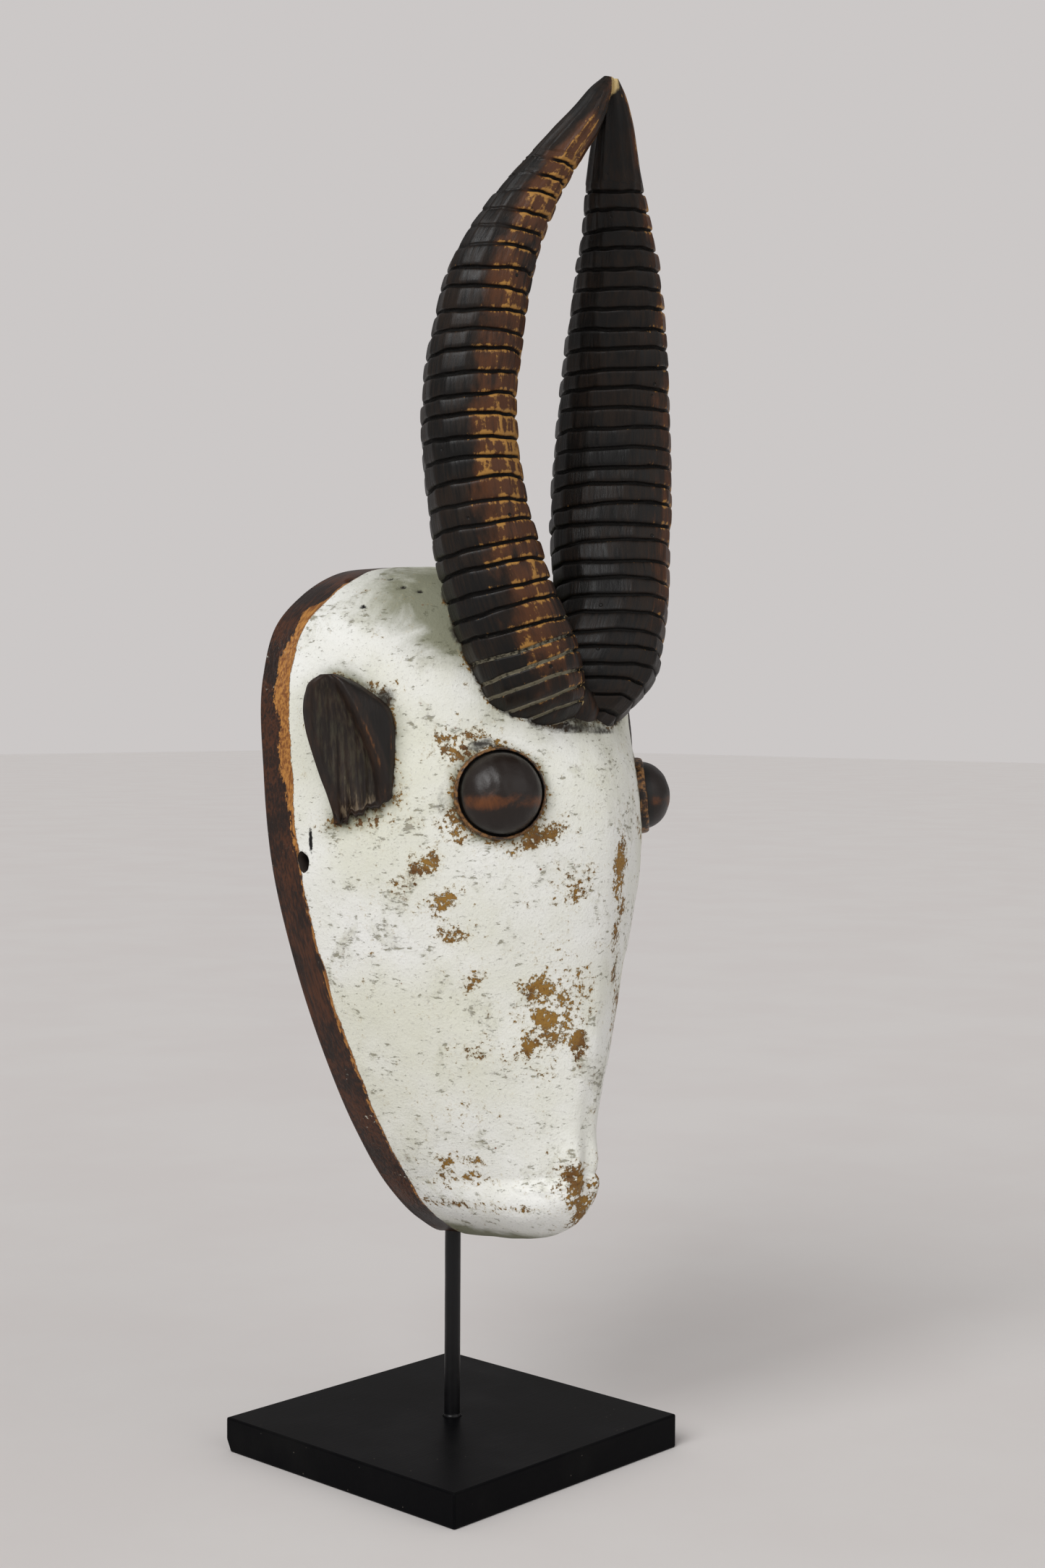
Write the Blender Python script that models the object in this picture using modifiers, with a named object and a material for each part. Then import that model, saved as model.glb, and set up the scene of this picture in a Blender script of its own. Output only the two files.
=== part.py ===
"""Carved wooden antelope face mask with two ringed horns, on a steel rod and a square board.

The origin is the centre of the board's underside, +Z is up and the face looks along -Y.
The mask has a frame of its own: u across, v up its back plane and w forward from that plane,
which is (u, -w, v) before the mask is stood on its rod.
Every size is in metres.
"""
import math

import bmesh
import bpy
import numpy as np
from mathutils import Matrix, Vector

# Stand: a painted board with a steel rod in its middle
BOARD_SIDE = 0.160
BOARD_THICKNESS = 0.017
BOARD_EDGE = 0.001
CHIP_UP = 0.0075
CHIP_ALONG = 0.004
ROD_DIAMETER = 0.008
ROD_SHOWN = 0.0927
SEAT_CLEARANCE = 0.0003
BOARD_SOCKET_DEPTH = 0.012
CHIN_SOCKET_DEPTH = 0.016

# Head: how it hangs on the rod, and its overall sizes
HEAD_LEAN = math.radians(3.2)
ROD_SETBACK = 0.0075
HEAD_HEIGHT = 0.3335
HEAD_WIDTH = 0.2175
HEAD_DEPTH = 0.1155

# Head: rim and walls
RIM_ROUNDING = 0.0025
SIDE_WALL = 0.012
FRONT_WALL = 0.022
CHIN_WALL = 0.024

# Eyes: a dome in a thin raised ring; the mask's left one is smaller, lower and further round
RIGHT_EYE_RADIUS = 0.0195
RIGHT_EYE_SPREAD = 0.0500
RIGHT_EYE_HEIGHT = 0.2190
RIGHT_EYE_TURN = math.radians(36.0)
LEFT_EYE_RADIUS = 0.0170
LEFT_EYE_SPREAD = 0.0600
LEFT_EYE_HEIGHT = 0.2155
LEFT_EYE_TURN = math.radians(43.0)
EYE_TILT = math.radians(4.0)
EYE_RISE = 0.0145
EYE_RING_WIDTH = 0.0022
EYE_RING_RISE = 0.0022
EYE_ROOT = 0.010

# Ears: scooped leaves rooted along their front edge, their back edge standing off the head;
# the mask's left one sits a little further back
EAR_LENGTH = 0.0725
EAR_WIDTH = 0.0400
EAR_BLADE = 0.0060
EAR_ROOT = 0.0135
EAR_HEIGHT = 0.2040
EAR_TURN = math.radians(46.0)
RIGHT_EAR_SPREAD = 0.0840
RIGHT_EAR_FORWARD = 0.0625
LEFT_EAR_SPREAD = 0.0890
LEFT_EAR_FORWARD = 0.0550

# Horns: one pair, joined at the brow and at the tips, with sawn rings
HORN_RISE = 0.300
HORN_SPREAD = 0.0508
HORN_WIDTH = 0.0608
HORN_THICKNESS = 0.0500
HORN_SQUARENESS = 2.7
HORN_DIAGONAL = math.radians(45.0)
RING_PITCH = 0.0098
GROOVE_WIDTH = 0.0026
GROOVE_DEPTH = 0.0019
RIGHT_SMOOTH_TIP = 0.050
LEFT_SMOOTH_TIP = 0.056
PATH_STEP = 0.002

# Brow: a rounded knob of wood that joins the two horns' roots in front
KNOB_HEIGHT = 0.2600
KNOB_FORWARD = 0.0990
KNOB_HALF_WIDTH = 0.0165
KNOB_HALF_HEIGHT = 0.0140
KNOB_HALF_DEPTH = 0.0125

# Cord holes through the sides of the rim
CORD_HOLE_WIDTH = 0.0070
CORD_HOLE_LENGTH = 0.0100
CORD_HOLE_HEIGHT = 0.190
CORD_HOLE_FORWARD = 0.0215

# Fineness of the carved surfaces
HEAD_COLUMNS = 56
HEAD_ROWS = 13
HOLLOW_COLUMNS = 36
HOLLOW_ROWS = 8
HORN_SIDES = 12
KNOB_SIDES = 14
KNOB_ROWS = 6
EYE_SEGMENTS = 20
EYE_RINGS = 6
ROD_SEGMENTS = 24
CORD_HOLE_SEGMENTS = 12
OVERCUT = 0.006
WELD = 0.00002

# Half of the rim seen from the front, as shares of half the head's width and of its height
RIM_POINTS = [
    (0.000, 0.000), (0.160, 0.026), (0.338, 0.080), (0.529, 0.172), (0.704, 0.288),
    (0.870, 0.435), (0.971, 0.568), (1.000, 0.700), (0.982, 0.835), (0.900, 0.905),
    (0.745, 0.950), (0.540, 0.983), (0.280, 0.996), (0.000, 1.000)]

# The line down the middle of the face: height and depth as shares of the head's own
FACE_LINE = [
    (0.110, 0.846), (0.186, 0.883), (0.280, 0.926), (0.390, 0.962), (0.470, 1.005),
    (0.545, 1.036), (0.610, 1.042), (0.670, 1.021), (0.740, 0.954), (0.810, 0.915)]

# How full the side of the face bulges at each height: 2 is an ellipse, less is a wedge
FULLNESS = [
    (0.110, 1.50), (0.180, 1.50), (0.270, 1.55), (0.380, 1.60), (0.500, 1.64), (0.640, 1.65),
    (0.810, 1.72)]
CHIN_FULLNESS = 3.4
CROWN_FULLNESS = 2.10

# Middle line of one horn: rise from brow to tip, spread and depth forward of the back plane,
# then its two half widths, all as shares of the horn's or the head's sizes
HORN_LINE = [
    (-0.090, 0.060, 0.524, 0.500, 0.600), (-0.030, 0.160, 0.645, 0.680, 0.800),
    (0.030, 0.280, 0.753, 0.860, 1.000), (0.090, 0.500, 0.812, 0.920, 1.060),
    (0.180, 0.755, 0.805, 0.940, 1.040), (0.271, 0.870, 0.770, 0.985, 1.000),
    (0.366, 0.955, 0.755, 1.000, 0.940), (0.476, 1.010, 0.758, 0.960, 0.900),
    (0.595, 0.965, 0.803, 0.860, 0.870), (0.700, 0.872, 0.861, 0.745, 0.780),
    (0.789, 0.675, 0.943, 0.585, 0.580), (0.869, 0.400, 1.038, 0.430, 0.420),
    (0.938, 0.171, 1.133, 0.285, 0.300), (0.969, 0.090, 1.164, 0.190, 0.200),
    (0.989, 0.032, 1.188, 0.080, 0.090)]
BROW_HEIGHT = 0.2515

# How the saw was held: the rise key, then how far the ring planes' normals lean out and forward
RING_LEAN = [
    (0.00, 0.270, -0.245), (0.27, 0.120, -0.110), (0.55, 0.000, 0.000), (0.85, -0.080, 0.115),
    (1.00, -0.120, 0.160)]

# Sections of one ear from its lower end to its tip: height as a share of the ear's length, then
# foot, ridge, ridge rise, scoop, scoop rise, back edge and its rise as shares of its width
EAR_SECTIONS = [
    (0.00, 0.60, 0.63, -0.10, 0.66, -0.11, 0.69, -0.10),
    (0.07, 0.34, 0.38, 0.02, 0.52, -0.05, 0.70, 0.02),
    (0.13, 0.06, 0.12, 0.08, 0.40, -0.03, 0.72, 0.06),
    (0.21, 0.01, 0.09, 0.11, 0.40, -0.03, 0.76, 0.07),
    (0.33, 0.00, 0.11, 0.13, 0.42, -0.04, 0.83, 0.07),
    (0.47, 0.00, 0.17, 0.14, 0.48, -0.05, 0.90, 0.07),
    (0.64, 0.00, 0.28, 0.14, 0.56, -0.04, 0.97, 0.07),
    (0.77, 0.06, 0.38, 0.13, 0.62, -0.02, 0.99, 0.06),
    (0.88, 0.28, 0.48, 0.11, 0.67, 0.00, 0.96, 0.05),
    (0.96, 0.48, 0.57, 0.08, 0.70, 0.03, 0.89, 0.04),
    (1.00, 0.62, 0.66, 0.04, 0.71, 0.02, 0.78, 0.02)]


def smooth_read(rows, at):
    """Read a smooth curve through rows of (key, value, ...) at the given keys."""
    table = np.asarray(rows, float)
    keys, values = table[:, 0], table[:, 1:]
    slopes = np.gradient(values, keys, axis=0)
    at = np.clip(np.atleast_1d(at), keys[0], keys[-1])
    k = np.clip(np.searchsorted(keys, at, side="right") - 1, 0, len(keys) - 2)
    span = (keys[k + 1] - keys[k])[:, None]
    t = (at[:, None] - keys[k][:, None]) / span
    start = (1 + 2 * t) * (1 - t) ** 2
    end = t * t * (3 - 2 * t)
    leave = t * (1 - t) ** 2 * span
    arrive = t * t * (t - 1) * span
    return start * values[k] + end * values[k + 1] + leave * slopes[k] + arrive * slopes[k + 1]


def lengths_along(points):
    """Distance along a chain of points, from 0 at its start."""
    steps = np.linalg.norm(np.diff(points, axis=0), axis=1)
    return np.concatenate([[0.0], np.cumsum(steps)])


def rim_outline(columns):
    """Points round the whole rim in (u, v), from the chin up the near side and down the far one."""
    half = np.array(RIM_POINTS) * (HEAD_WIDTH / 2, HEAD_HEIGHT)
    before = half[1] * (-1, 1)
    after = half[-2] * (-1, 1)
    chain = np.vstack([before, half, after])
    keys = lengths_along(chain)
    count = columns // 2
    at = np.linspace(keys[1], keys[-2], count + 1)
    curve = smooth_read(np.column_stack([keys, chain]), at)
    curve[0, 0] = curve[-1, 0] = 0.0
    near = curve * (-1, 1)
    far = curve[-2:0:-1]
    return np.vstack([near, far])


def smooth_step(t):
    """Rises from 0 to 1 with level ends."""
    t = np.clip(t, 0.0, 1.0)
    return t * t * (3 - 2 * t)


def muzzle_relief(u, v):
    """Two low lobes at the front of the muzzle with a shallow channel between and above them."""
    lobe_u, lobe_v = 0.040 * HEAD_WIDTH, 0.122 * HEAD_HEIGHT
    lobe = np.exp(-((np.abs(u) - lobe_u) / (0.032 * HEAD_WIDTH)) ** 2)
    lobe *= np.exp(-((v - lobe_v) / (0.036 * HEAD_HEIGHT)) ** 2)
    channel = np.exp(-(u / (0.022 * HEAD_WIDTH)) ** 2)
    channel *= smooth_step((0.30 * HEAD_HEIGHT - v) / (0.10 * HEAD_HEIGHT))
    channel *= smooth_step((v - 0.02 * HEAD_HEIGHT) / (0.06 * HEAD_HEIGHT))
    return HEAD_DEPTH * (0.045 * lobe - 0.018 * channel)


def face_rows(outline, rows, side_inset, front_inset, chin_inset, start):
    """Rows of the domed face from the rim, at depth `start`, to the line down its middle."""
    u, v = outline[:, 0], outline[:, 1]
    low, high = FACE_LINE[0][0] * HEAD_HEIGHT, FACE_LINE[-1][0] * HEAD_HEIGHT
    middle_v = np.clip(v, low, high)
    depth = smooth_read(FACE_LINE, middle_v / HEAD_HEIGHT)[:, 0] * HEAD_DEPTH - front_inset
    fullness = smooth_read(FULLNESS, middle_v / HEAD_HEIGHT)[:, 0]
    reach = np.hypot(u, v - middle_v)
    tilt = smooth_step(np.abs(v - middle_v) / reach)
    end_fullness = np.where(v < middle_v, CHIN_FULLNESS, CROWN_FULLNESS)
    fullness = fullness + (end_fullness - fullness) * tilt
    inset = side_inset + (chin_inset - side_inset) * np.where(v < middle_v, tilt, 0.0)
    share = (reach - inset) / reach
    result = []
    for angle in np.linspace(0.0, math.pi / 2, rows + 1):
        across = max(math.cos(angle), 0.0) ** (2 / fullness) * share
        forward = math.sin(angle) ** (2 / fullness)
        row_u = u * across
        row_v = middle_v + (v - middle_v) * across
        relief = muzzle_relief(row_u, row_v) * smooth_step(2 * forward - 1)
        row_w = start + (depth - start) * forward + relief
        result.append(np.column_stack([row_u, row_v, row_w]))
    return result


def mask_matrix():
    """Stands the mask's own frame on the rod, leaning back a little."""
    foot = Vector((0, ROD_SETBACK, BOARD_THICKNESS + ROD_SHOWN))
    return Matrix.Translation(foot) @ Matrix.Rotation(-HEAD_LEAN, 4, "X")


def loft(name, rings, collection, material=None, close_top=True, close_bottom=True):
    """A closed body through rings of equally many (u, v, w) points."""
    rings = np.asarray(rings, float)
    count = rings.shape[1]
    mesh = bmesh.new()
    grid = []
    for ring in rings:
        grid.append([mesh.verts.new((u, -w, v)) for u, v, w in ring])
    for lower, upper in zip(grid, grid[1:]):
        for k in range(count):
            after = (k + 1) % count
            mesh.faces.new((lower[k], lower[after], upper[after], upper[k]))
    if close_bottom:
        mesh.faces.new(grid[0][::-1])
    if close_top:
        mesh.faces.new(grid[-1])
    bmesh.ops.remove_doubles(mesh, verts=mesh.verts, dist=WELD)
    bmesh.ops.recalc_face_normals(mesh, faces=mesh.faces)
    data = bpy.data.meshes.new(name)
    mesh.to_mesh(data)
    mesh.free()
    data.transform(mask_matrix())
    if data.validate():
        data.update()
    return add_object(name, data, collection, material)


def add_object(name, data, collection, material=None):
    """Places a finished mesh in its collection; a cutter stays out of the picture."""
    item = bpy.data.objects.new(name, data)
    collection.objects.link(item)
    if material:
        data.materials.append(material)
    if collection.name == "cutters":
        item.hide_render = True
        item.display_type = "WIRE"
    return item


def take_active(name, collection, material=None):
    """Names the primitive just added, applies its placing and moves it to its collection."""
    item = bpy.context.active_object
    item.name = name
    item.data.name = name
    item.data.transform(item.matrix_world)
    item.matrix_world = Matrix.Identity(4)
    for owner in list(item.users_collection):
        owner.objects.unlink(item)
    collection.objects.link(item)
    if material:
        item.data.materials.append(material)
    if collection.name == "cutters":
        item.hide_render = True
        item.display_type = "WIRE"
    return item


def combine(target, tool, operation):
    """Joins or cuts one body with another."""
    step = target.modifiers.new(f"{operation.lower()} {tool.name}", "BOOLEAN")
    step.operation = operation
    step.solver = "EXACT"
    step.object = tool


def paint(name, colour, roughness, metallic=0.0):
    """A plain material in the piece's own colour."""
    material = bpy.data.materials.new(name)
    material.use_nodes = True
    shader = material.node_tree.nodes["Principled BSDF"]
    shader.inputs["Base Color"].default_value = (*colour, 1.0)
    shader.inputs["Roughness"].default_value = roughness
    shader.inputs["Metallic"].default_value = metallic
    material.diffuse_color = (*colour, 1.0)
    return material


def head_block(collection, material):
    """The head as a solid block: a low flat back, a vertical rim band and the domed face."""
    outline = rim_outline(HEAD_COLUMNS)
    inward = 1 - RIM_ROUNDING / np.linalg.norm(outline - (0, HEAD_HEIGHT / 2), axis=1)
    centre = np.array((0, HEAD_HEIGHT / 2))
    back = centre + (outline - centre) * inward[:, None]
    rings = [np.column_stack([back, np.zeros(len(back))])]
    rings.append(np.column_stack([outline, np.full(len(outline), RIM_ROUNDING)]))
    rings += face_rows(outline, HEAD_ROWS, 0.0, 0.0, 0.0, RIM_ROUNDING)[1:]
    return loft("mask", rings, collection, material, close_top=False)


def hollow_cutter(collection):
    """The hollow behind the face, open at the back."""
    outline = rim_outline(HOLLOW_COLUMNS)
    rows = face_rows(outline, HOLLOW_ROWS, SIDE_WALL, FRONT_WALL, CHIN_WALL, 0.0)
    mouth = rows[0].copy()
    mouth[:, 2] = -OVERCUT
    return loft("hollow", [mouth] + rows, collection, close_top=False)


def horn_path():
    """Length of one horn, and its middle line with its half widths read along that length."""
    table = np.array(HORN_LINE)
    path = np.column_stack([
        table[:, 1] * HORN_SPREAD,
        BROW_HEIGHT + table[:, 0] * HORN_RISE,
        table[:, 2] * HEAD_DEPTH,
        table[:, 3] * HORN_WIDTH / 2,
        table[:, 4] * HORN_THICKNESS / 2])
    keys = lengths_along(path[:, :3])
    rows = np.column_stack([keys, path])
    return keys[-1], lambda at: smooth_read(rows, at)


def horn_stations(length, smooth_tip):
    """Distances along a horn where its section is set, with the depth of the groove there."""
    stations = []
    groove = length - smooth_tip
    while groove > RING_PITCH:
        stations.append((groove + GROOVE_WIDTH / 2, 0.0))
        stations.append((groove, GROOVE_DEPTH))
        stations.append((groove - GROOVE_WIDTH / 2, 0.0))
        groove -= RING_PITCH
    stations.append((0.0, 0.0))
    for share in (0.35, 0.7, 0.9, 1.0):
        stations.append((length - smooth_tip * (1 - share), 0.0))
    return sorted(stations)


def horn(name, side, smooth_tip, collection):
    """One horn: a rounded four-sided section carried along its line, with sawn grooves."""
    length, read = horn_path()
    diagonal = np.array((math.sin(HORN_DIAGONAL), 0.0, math.cos(HORN_DIAGONAL)))
    power = 2 / HORN_SQUARENESS
    rings = []
    for distance, groove in horn_stations(length, smooth_tip):
        here = read(distance)[0]
        ahead = read(min(distance + PATH_STEP, length))[0]
        behind = read(max(distance - PATH_STEP, 0.0))[0]
        along = ahead[:3] - behind[:3]
        along = along / np.linalg.norm(along)
        wide = diagonal - along * np.dot(diagonal, along)
        wide = wide / np.linalg.norm(wide)
        thin = np.cross(along, wide)
        lean = smooth_read(RING_LEAN, (here[1] - BROW_HEIGHT) / HORN_RISE)[0]
        plane = np.array((lean[0], 1.0, lean[1]))
        ring = []
        for k in range(HORN_SIDES):
            angle = 2 * math.pi * (k + 0.5) / HORN_SIDES
            c, s = math.cos(angle), math.sin(angle)
            across = math.copysign(abs(c) ** power, c) * (here[3] - groove)
            over = math.copysign(abs(s) ** power, s) * (here[4] - groove)
            reach = wide * across + thin * over
            reach = reach - along * np.dot(reach, plane) / np.dot(along, plane)
            point = here[:3] + reach
            ring.append((side * point[0], point[1], point[2]))
        rings.append(ring)
    return loft(name, rings, collection)


def knob(collection):
    """The knob between the horns' roots: a squat rounded body, half sunk in the brow."""
    rings = []
    for k in range(KNOB_ROWS + 1):
        climb = math.pi * (k / KNOB_ROWS - 0.5)
        ring = []
        for j in range(KNOB_SIDES):
            turn = 2 * math.pi * (j + 0.5) / KNOB_SIDES
            ring.append((KNOB_HALF_WIDTH * math.cos(climb) * math.cos(turn),
                         KNOB_HEIGHT + KNOB_HALF_HEIGHT * math.sin(climb),
                         KNOB_FORWARD + KNOB_HALF_DEPTH * math.cos(climb) * math.sin(turn)))
        rings.append(ring)
    return loft("knob", rings, collection, close_top=False, close_bottom=False)


def eye(name, side, radius, spread, height, turn, collection):
    """A low dome in a thin raised ring, turned about an axis square to the face there."""
    outer = radius + EYE_RING_WIDTH
    profile = [(0.0, EYE_RISE)]
    for k in range(1, EYE_RINGS):
        angle = math.pi / 2 * k / EYE_RINGS
        profile.append((radius * math.sin(angle), EYE_RISE * math.cos(angle)))
    profile.append((radius, EYE_RING_RISE * 0.4))
    profile.append((radius + EYE_RING_WIDTH * 0.35, EYE_RING_RISE))
    profile.append((outer, 0.0))
    profile.append((outer, -EYE_ROOT))
    profile.append((0.0, -EYE_ROOT))
    data = bpy.data.meshes.new(name)
    mesh = bmesh.new()
    chain = [mesh.verts.new((reach, 0, rise)) for reach, rise in profile]
    edges = [mesh.edges.new(pair) for pair in zip(chain, chain[1:])]
    bmesh.ops.spin(mesh, geom=chain + edges, cent=(0, 0, 0), axis=(0, 0, 1),
                   angle=2 * math.pi, steps=EYE_SEGMENTS, use_merge=True)
    bmesh.ops.remove_doubles(mesh, verts=mesh.verts, dist=WELD)
    bmesh.ops.recalc_face_normals(mesh, faces=mesh.faces)
    mesh.to_mesh(data)
    mesh.free()
    facing = Vector((side * math.sin(turn), -math.cos(turn), math.sin(EYE_TILT)))
    facing = facing.to_track_quat("Z", "X").to_matrix().to_4x4()
    place = Matrix.Translation((side * spread, -face_depth(spread, height), height))
    data.transform(mask_matrix() @ place @ facing)
    return add_object(name, data, collection)


def face_depth(u, v):
    """Depth of the face at a place on its flank, where its middle line runs level with it."""
    share = v / HEAD_HEIGHT
    half = np.array(RIM_POINTS) * (HEAD_WIDTH / 2, HEAD_HEIGHT)
    rim_u = smooth_read(half[2:10, ::-1], v)[0, 0]
    depth = smooth_read(FACE_LINE, share)[0, 0] * HEAD_DEPTH
    fullness = smooth_read(FULLNESS, share)[0, 0]
    rise = (1 - (u / rim_u) ** fullness) ** (1 / fullness)
    return RIM_ROUNDING + (depth - RIM_ROUNDING) * rise


def ear(name, side, spread, forward, collection):
    """A scooped leaf: a bevelled foot, a ridge, a long scoop and a thin free edge at the back."""
    across = np.array((math.cos(EAR_TURN), -math.sin(EAR_TURN)))
    out = np.array((math.sin(EAR_TURN), math.cos(EAR_TURN)))
    blade = EAR_BLADE / EAR_WIDTH
    root = EAR_ROOT / EAR_WIDTH
    rings = []
    for height, foot, ridge, ridge_rise, scoop, scoop_rise, back, back_rise in EAR_SECTIONS:
        bevel = min(0.05, 0.4 * (scoop - ridge))
        lip = min(0.04, 0.4 * (back - scoop))
        behind = 0.55 * back + 0.45 * foot
        section = [
            (foot, -root), (foot, ridge_rise - 0.09), (max(ridge - bevel, foot), ridge_rise - 0.015),
            (ridge, ridge_rise), (ridge + bevel, ridge_rise - 0.03),
            (0.55 * scoop + 0.45 * ridge, 0.75 * scoop_rise + 0.25 * ridge_rise),
            (scoop, scoop_rise), (0.5 * scoop + 0.5 * back, 0.7 * scoop_rise + 0.3 * back_rise),
            (back - lip, back_rise - 0.02), (back, back_rise - 0.02),
            (back + 0.005, back_rise - 0.06), (back - lip, back_rise - blade),
            (behind, min(scoop_rise, back_rise) - blade), (0.5 * behind + 0.5 * foot, -root)]
        ring = []
        for place, rise in section:
            flat = (spread, forward) + (across * place + out * rise) * EAR_WIDTH
            ring.append((side * flat[0], EAR_HEIGHT + height * EAR_LENGTH, flat[1]))
        rings.append(ring)
    return loft(name, rings, collection)


def round_cutter(name, radius, low, high, collection):
    """An upright round hole through the middle of the board or the chin."""
    bpy.ops.mesh.primitive_cylinder_add(
        vertices=ROD_SEGMENTS, radius=radius, depth=high - low, location=(0, 0, (low + high) / 2))
    return take_active(name, collection)


def cord_hole(name, side, collection):
    """An oval hole drilled sideways through the rim's side wall."""
    bpy.ops.mesh.primitive_cylinder_add(
        vertices=CORD_HOLE_SEGMENTS, radius=0.5, depth=4 * SIDE_WALL, rotation=(0, math.radians(90), 0))
    item = take_active(name, collection)
    item.data.transform(Matrix.Diagonal((1, CORD_HOLE_WIDTH, CORD_HOLE_LENGTH, 1)))
    half = np.array(RIM_POINTS) * (HEAD_WIDTH / 2, HEAD_HEIGHT)
    rim_u = smooth_read(half[2:10, ::-1], CORD_HOLE_HEIGHT)[0, 0]
    place = Matrix.Translation((side * rim_u, -CORD_HOLE_FORWARD, CORD_HOLE_HEIGHT))
    item.data.transform(mask_matrix() @ place)
    return item


def board(parts, cutters):
    """A square board with softened edges, a socket for the rod and one corner chipped below."""
    bpy.ops.mesh.primitive_cube_add(size=1, location=(0, 0, 0.5))
    item = take_active("base", parts, paint("black painted board", (0.012, 0.012, 0.013), 0.45))
    item.data.transform(Matrix.Diagonal((BOARD_SIDE, BOARD_SIDE, BOARD_THICKNESS, 1)))
    edge = item.modifiers.new("softened edges", "BEVEL")
    edge.width = BOARD_EDGE
    edge.segments = 2
    edge.limit_method = "ANGLE"
    socket = round_cutter("board socket", ROD_DIAMETER / 2 + SEAT_CLEARANCE,
                          BOARD_THICKNESS - BOARD_SOCKET_DEPTH - SEAT_CLEARANCE,
                          BOARD_THICKNESS + OVERCUT, cutters)
    combine(item, socket, "DIFFERENCE")
    combine(item, chip_cutter(cutters), "DIFFERENCE")
    return item


def chip_cutter(collection):
    """A wedge over the lost lower part of the corner at -X +Y."""
    corner = Vector((-BOARD_SIDE / 2, BOARD_SIDE / 2, 0))
    reach = 2.0
    mesh = bmesh.new()
    points = [(0, 0, CHIP_UP), (CHIP_ALONG, 0, 0), (0, -CHIP_ALONG, 0)]
    face = [corner + Vector(p) for p in points]
    outward = Vector((-1, 1, -1)).normalized() * reach * CHIP_UP
    centre = sum(face, Vector()) / 3
    inner = [mesh.verts.new(centre + (p - centre) * reach) for p in face]
    outer = [mesh.verts.new(centre + (p - centre) * reach + outward) for p in face]
    mesh.faces.new(inner)
    mesh.faces.new(outer[::-1])
    for k in range(3):
        after = (k + 1) % 3
        mesh.faces.new((inner[k], outer[k], outer[after], inner[after]))
    bmesh.ops.recalc_face_normals(mesh, faces=mesh.faces)
    data = bpy.data.meshes.new("chip")
    mesh.to_mesh(data)
    mesh.free()
    return add_object("chip", data, collection)


def rod(parts):
    """A straight steel rod seated in the board and in the chin."""
    low = BOARD_THICKNESS - BOARD_SOCKET_DEPTH
    high = BOARD_THICKNESS + ROD_SHOWN + CHIN_SOCKET_DEPTH
    bpy.ops.mesh.primitive_cylinder_add(
        vertices=ROD_SEGMENTS, radius=ROD_DIAMETER / 2, depth=high - low,
        location=(0, 0, (low + high) / 2))
    item = take_active("rod", parts, paint("black painted steel", (0.012, 0.012, 0.013), 0.4, 0.3))
    item.data.shade_smooth()
    item.data.set_sharp_from_angle(angle=math.radians(40))
    return item


def mask(parts, cutters):
    """One carved piece: the hollow head with its eyes, ears and horns."""
    item = head_block(parts, paint("painted carved wood", (0.72, 0.70, 0.60), 0.8))
    combine(item, horn("right horn", -1, RIGHT_SMOOTH_TIP, cutters), "UNION")
    combine(item, horn("left horn", 1, LEFT_SMOOTH_TIP, cutters), "UNION")
    combine(item, knob(cutters), "UNION")
    combine(item, ear("right ear", -1, RIGHT_EAR_SPREAD, RIGHT_EAR_FORWARD, cutters), "UNION")
    combine(item, ear("left ear", 1, LEFT_EAR_SPREAD, LEFT_EAR_FORWARD, cutters), "UNION")
    combine(item, eye("right eye", -1, RIGHT_EYE_RADIUS, RIGHT_EYE_SPREAD, RIGHT_EYE_HEIGHT,
                      RIGHT_EYE_TURN, cutters), "UNION")
    combine(item, eye("left eye", 1, LEFT_EYE_RADIUS, LEFT_EYE_SPREAD, LEFT_EYE_HEIGHT,
                      LEFT_EYE_TURN, cutters), "UNION")
    combine(item, hollow_cutter(cutters), "DIFFERENCE")
    combine(item, cord_hole("right cord hole", -1, cutters), "DIFFERENCE")
    combine(item, cord_hole("left cord hole", 1, cutters), "DIFFERENCE")
    chin = BOARD_THICKNESS + ROD_SHOWN
    socket = round_cutter("chin socket", ROD_DIAMETER / 2 + SEAT_CLEARANCE,
                          chin - OVERCUT, chin + CHIN_SOCKET_DEPTH + SEAT_CLEARANCE, cutters)
    combine(item, socket, "DIFFERENCE")
    item.data.shade_smooth()
    item.data.set_sharp_from_angle(angle=math.radians(35))
    return item


def build():
    """Clears the scene and makes the board, the rod and the mask."""
    for item in list(bpy.data.objects):
        bpy.data.objects.remove(item, do_unlink=True)
    parts = bpy.data.collections.new("antelope mask")
    cutters = bpy.data.collections.new("cutters")
    bpy.context.scene.collection.children.link(parts)
    bpy.context.scene.collection.children.link(cutters)
    board(parts, cutters)
    rod(parts)
    mask(parts, cutters)


build()
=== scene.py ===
"""Carved and painted wooden antelope mask with ringed horns, on its rod and board.

Everything is in metres in the part's own frame: the origin is under the middle of the board,
+Z is up and the face looks along -Y.
"""

import math

import bmesh
import bpy
import numpy as np
from mathutils import Matrix, Vector
from mathutils.bvhtree import BVHTree


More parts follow.
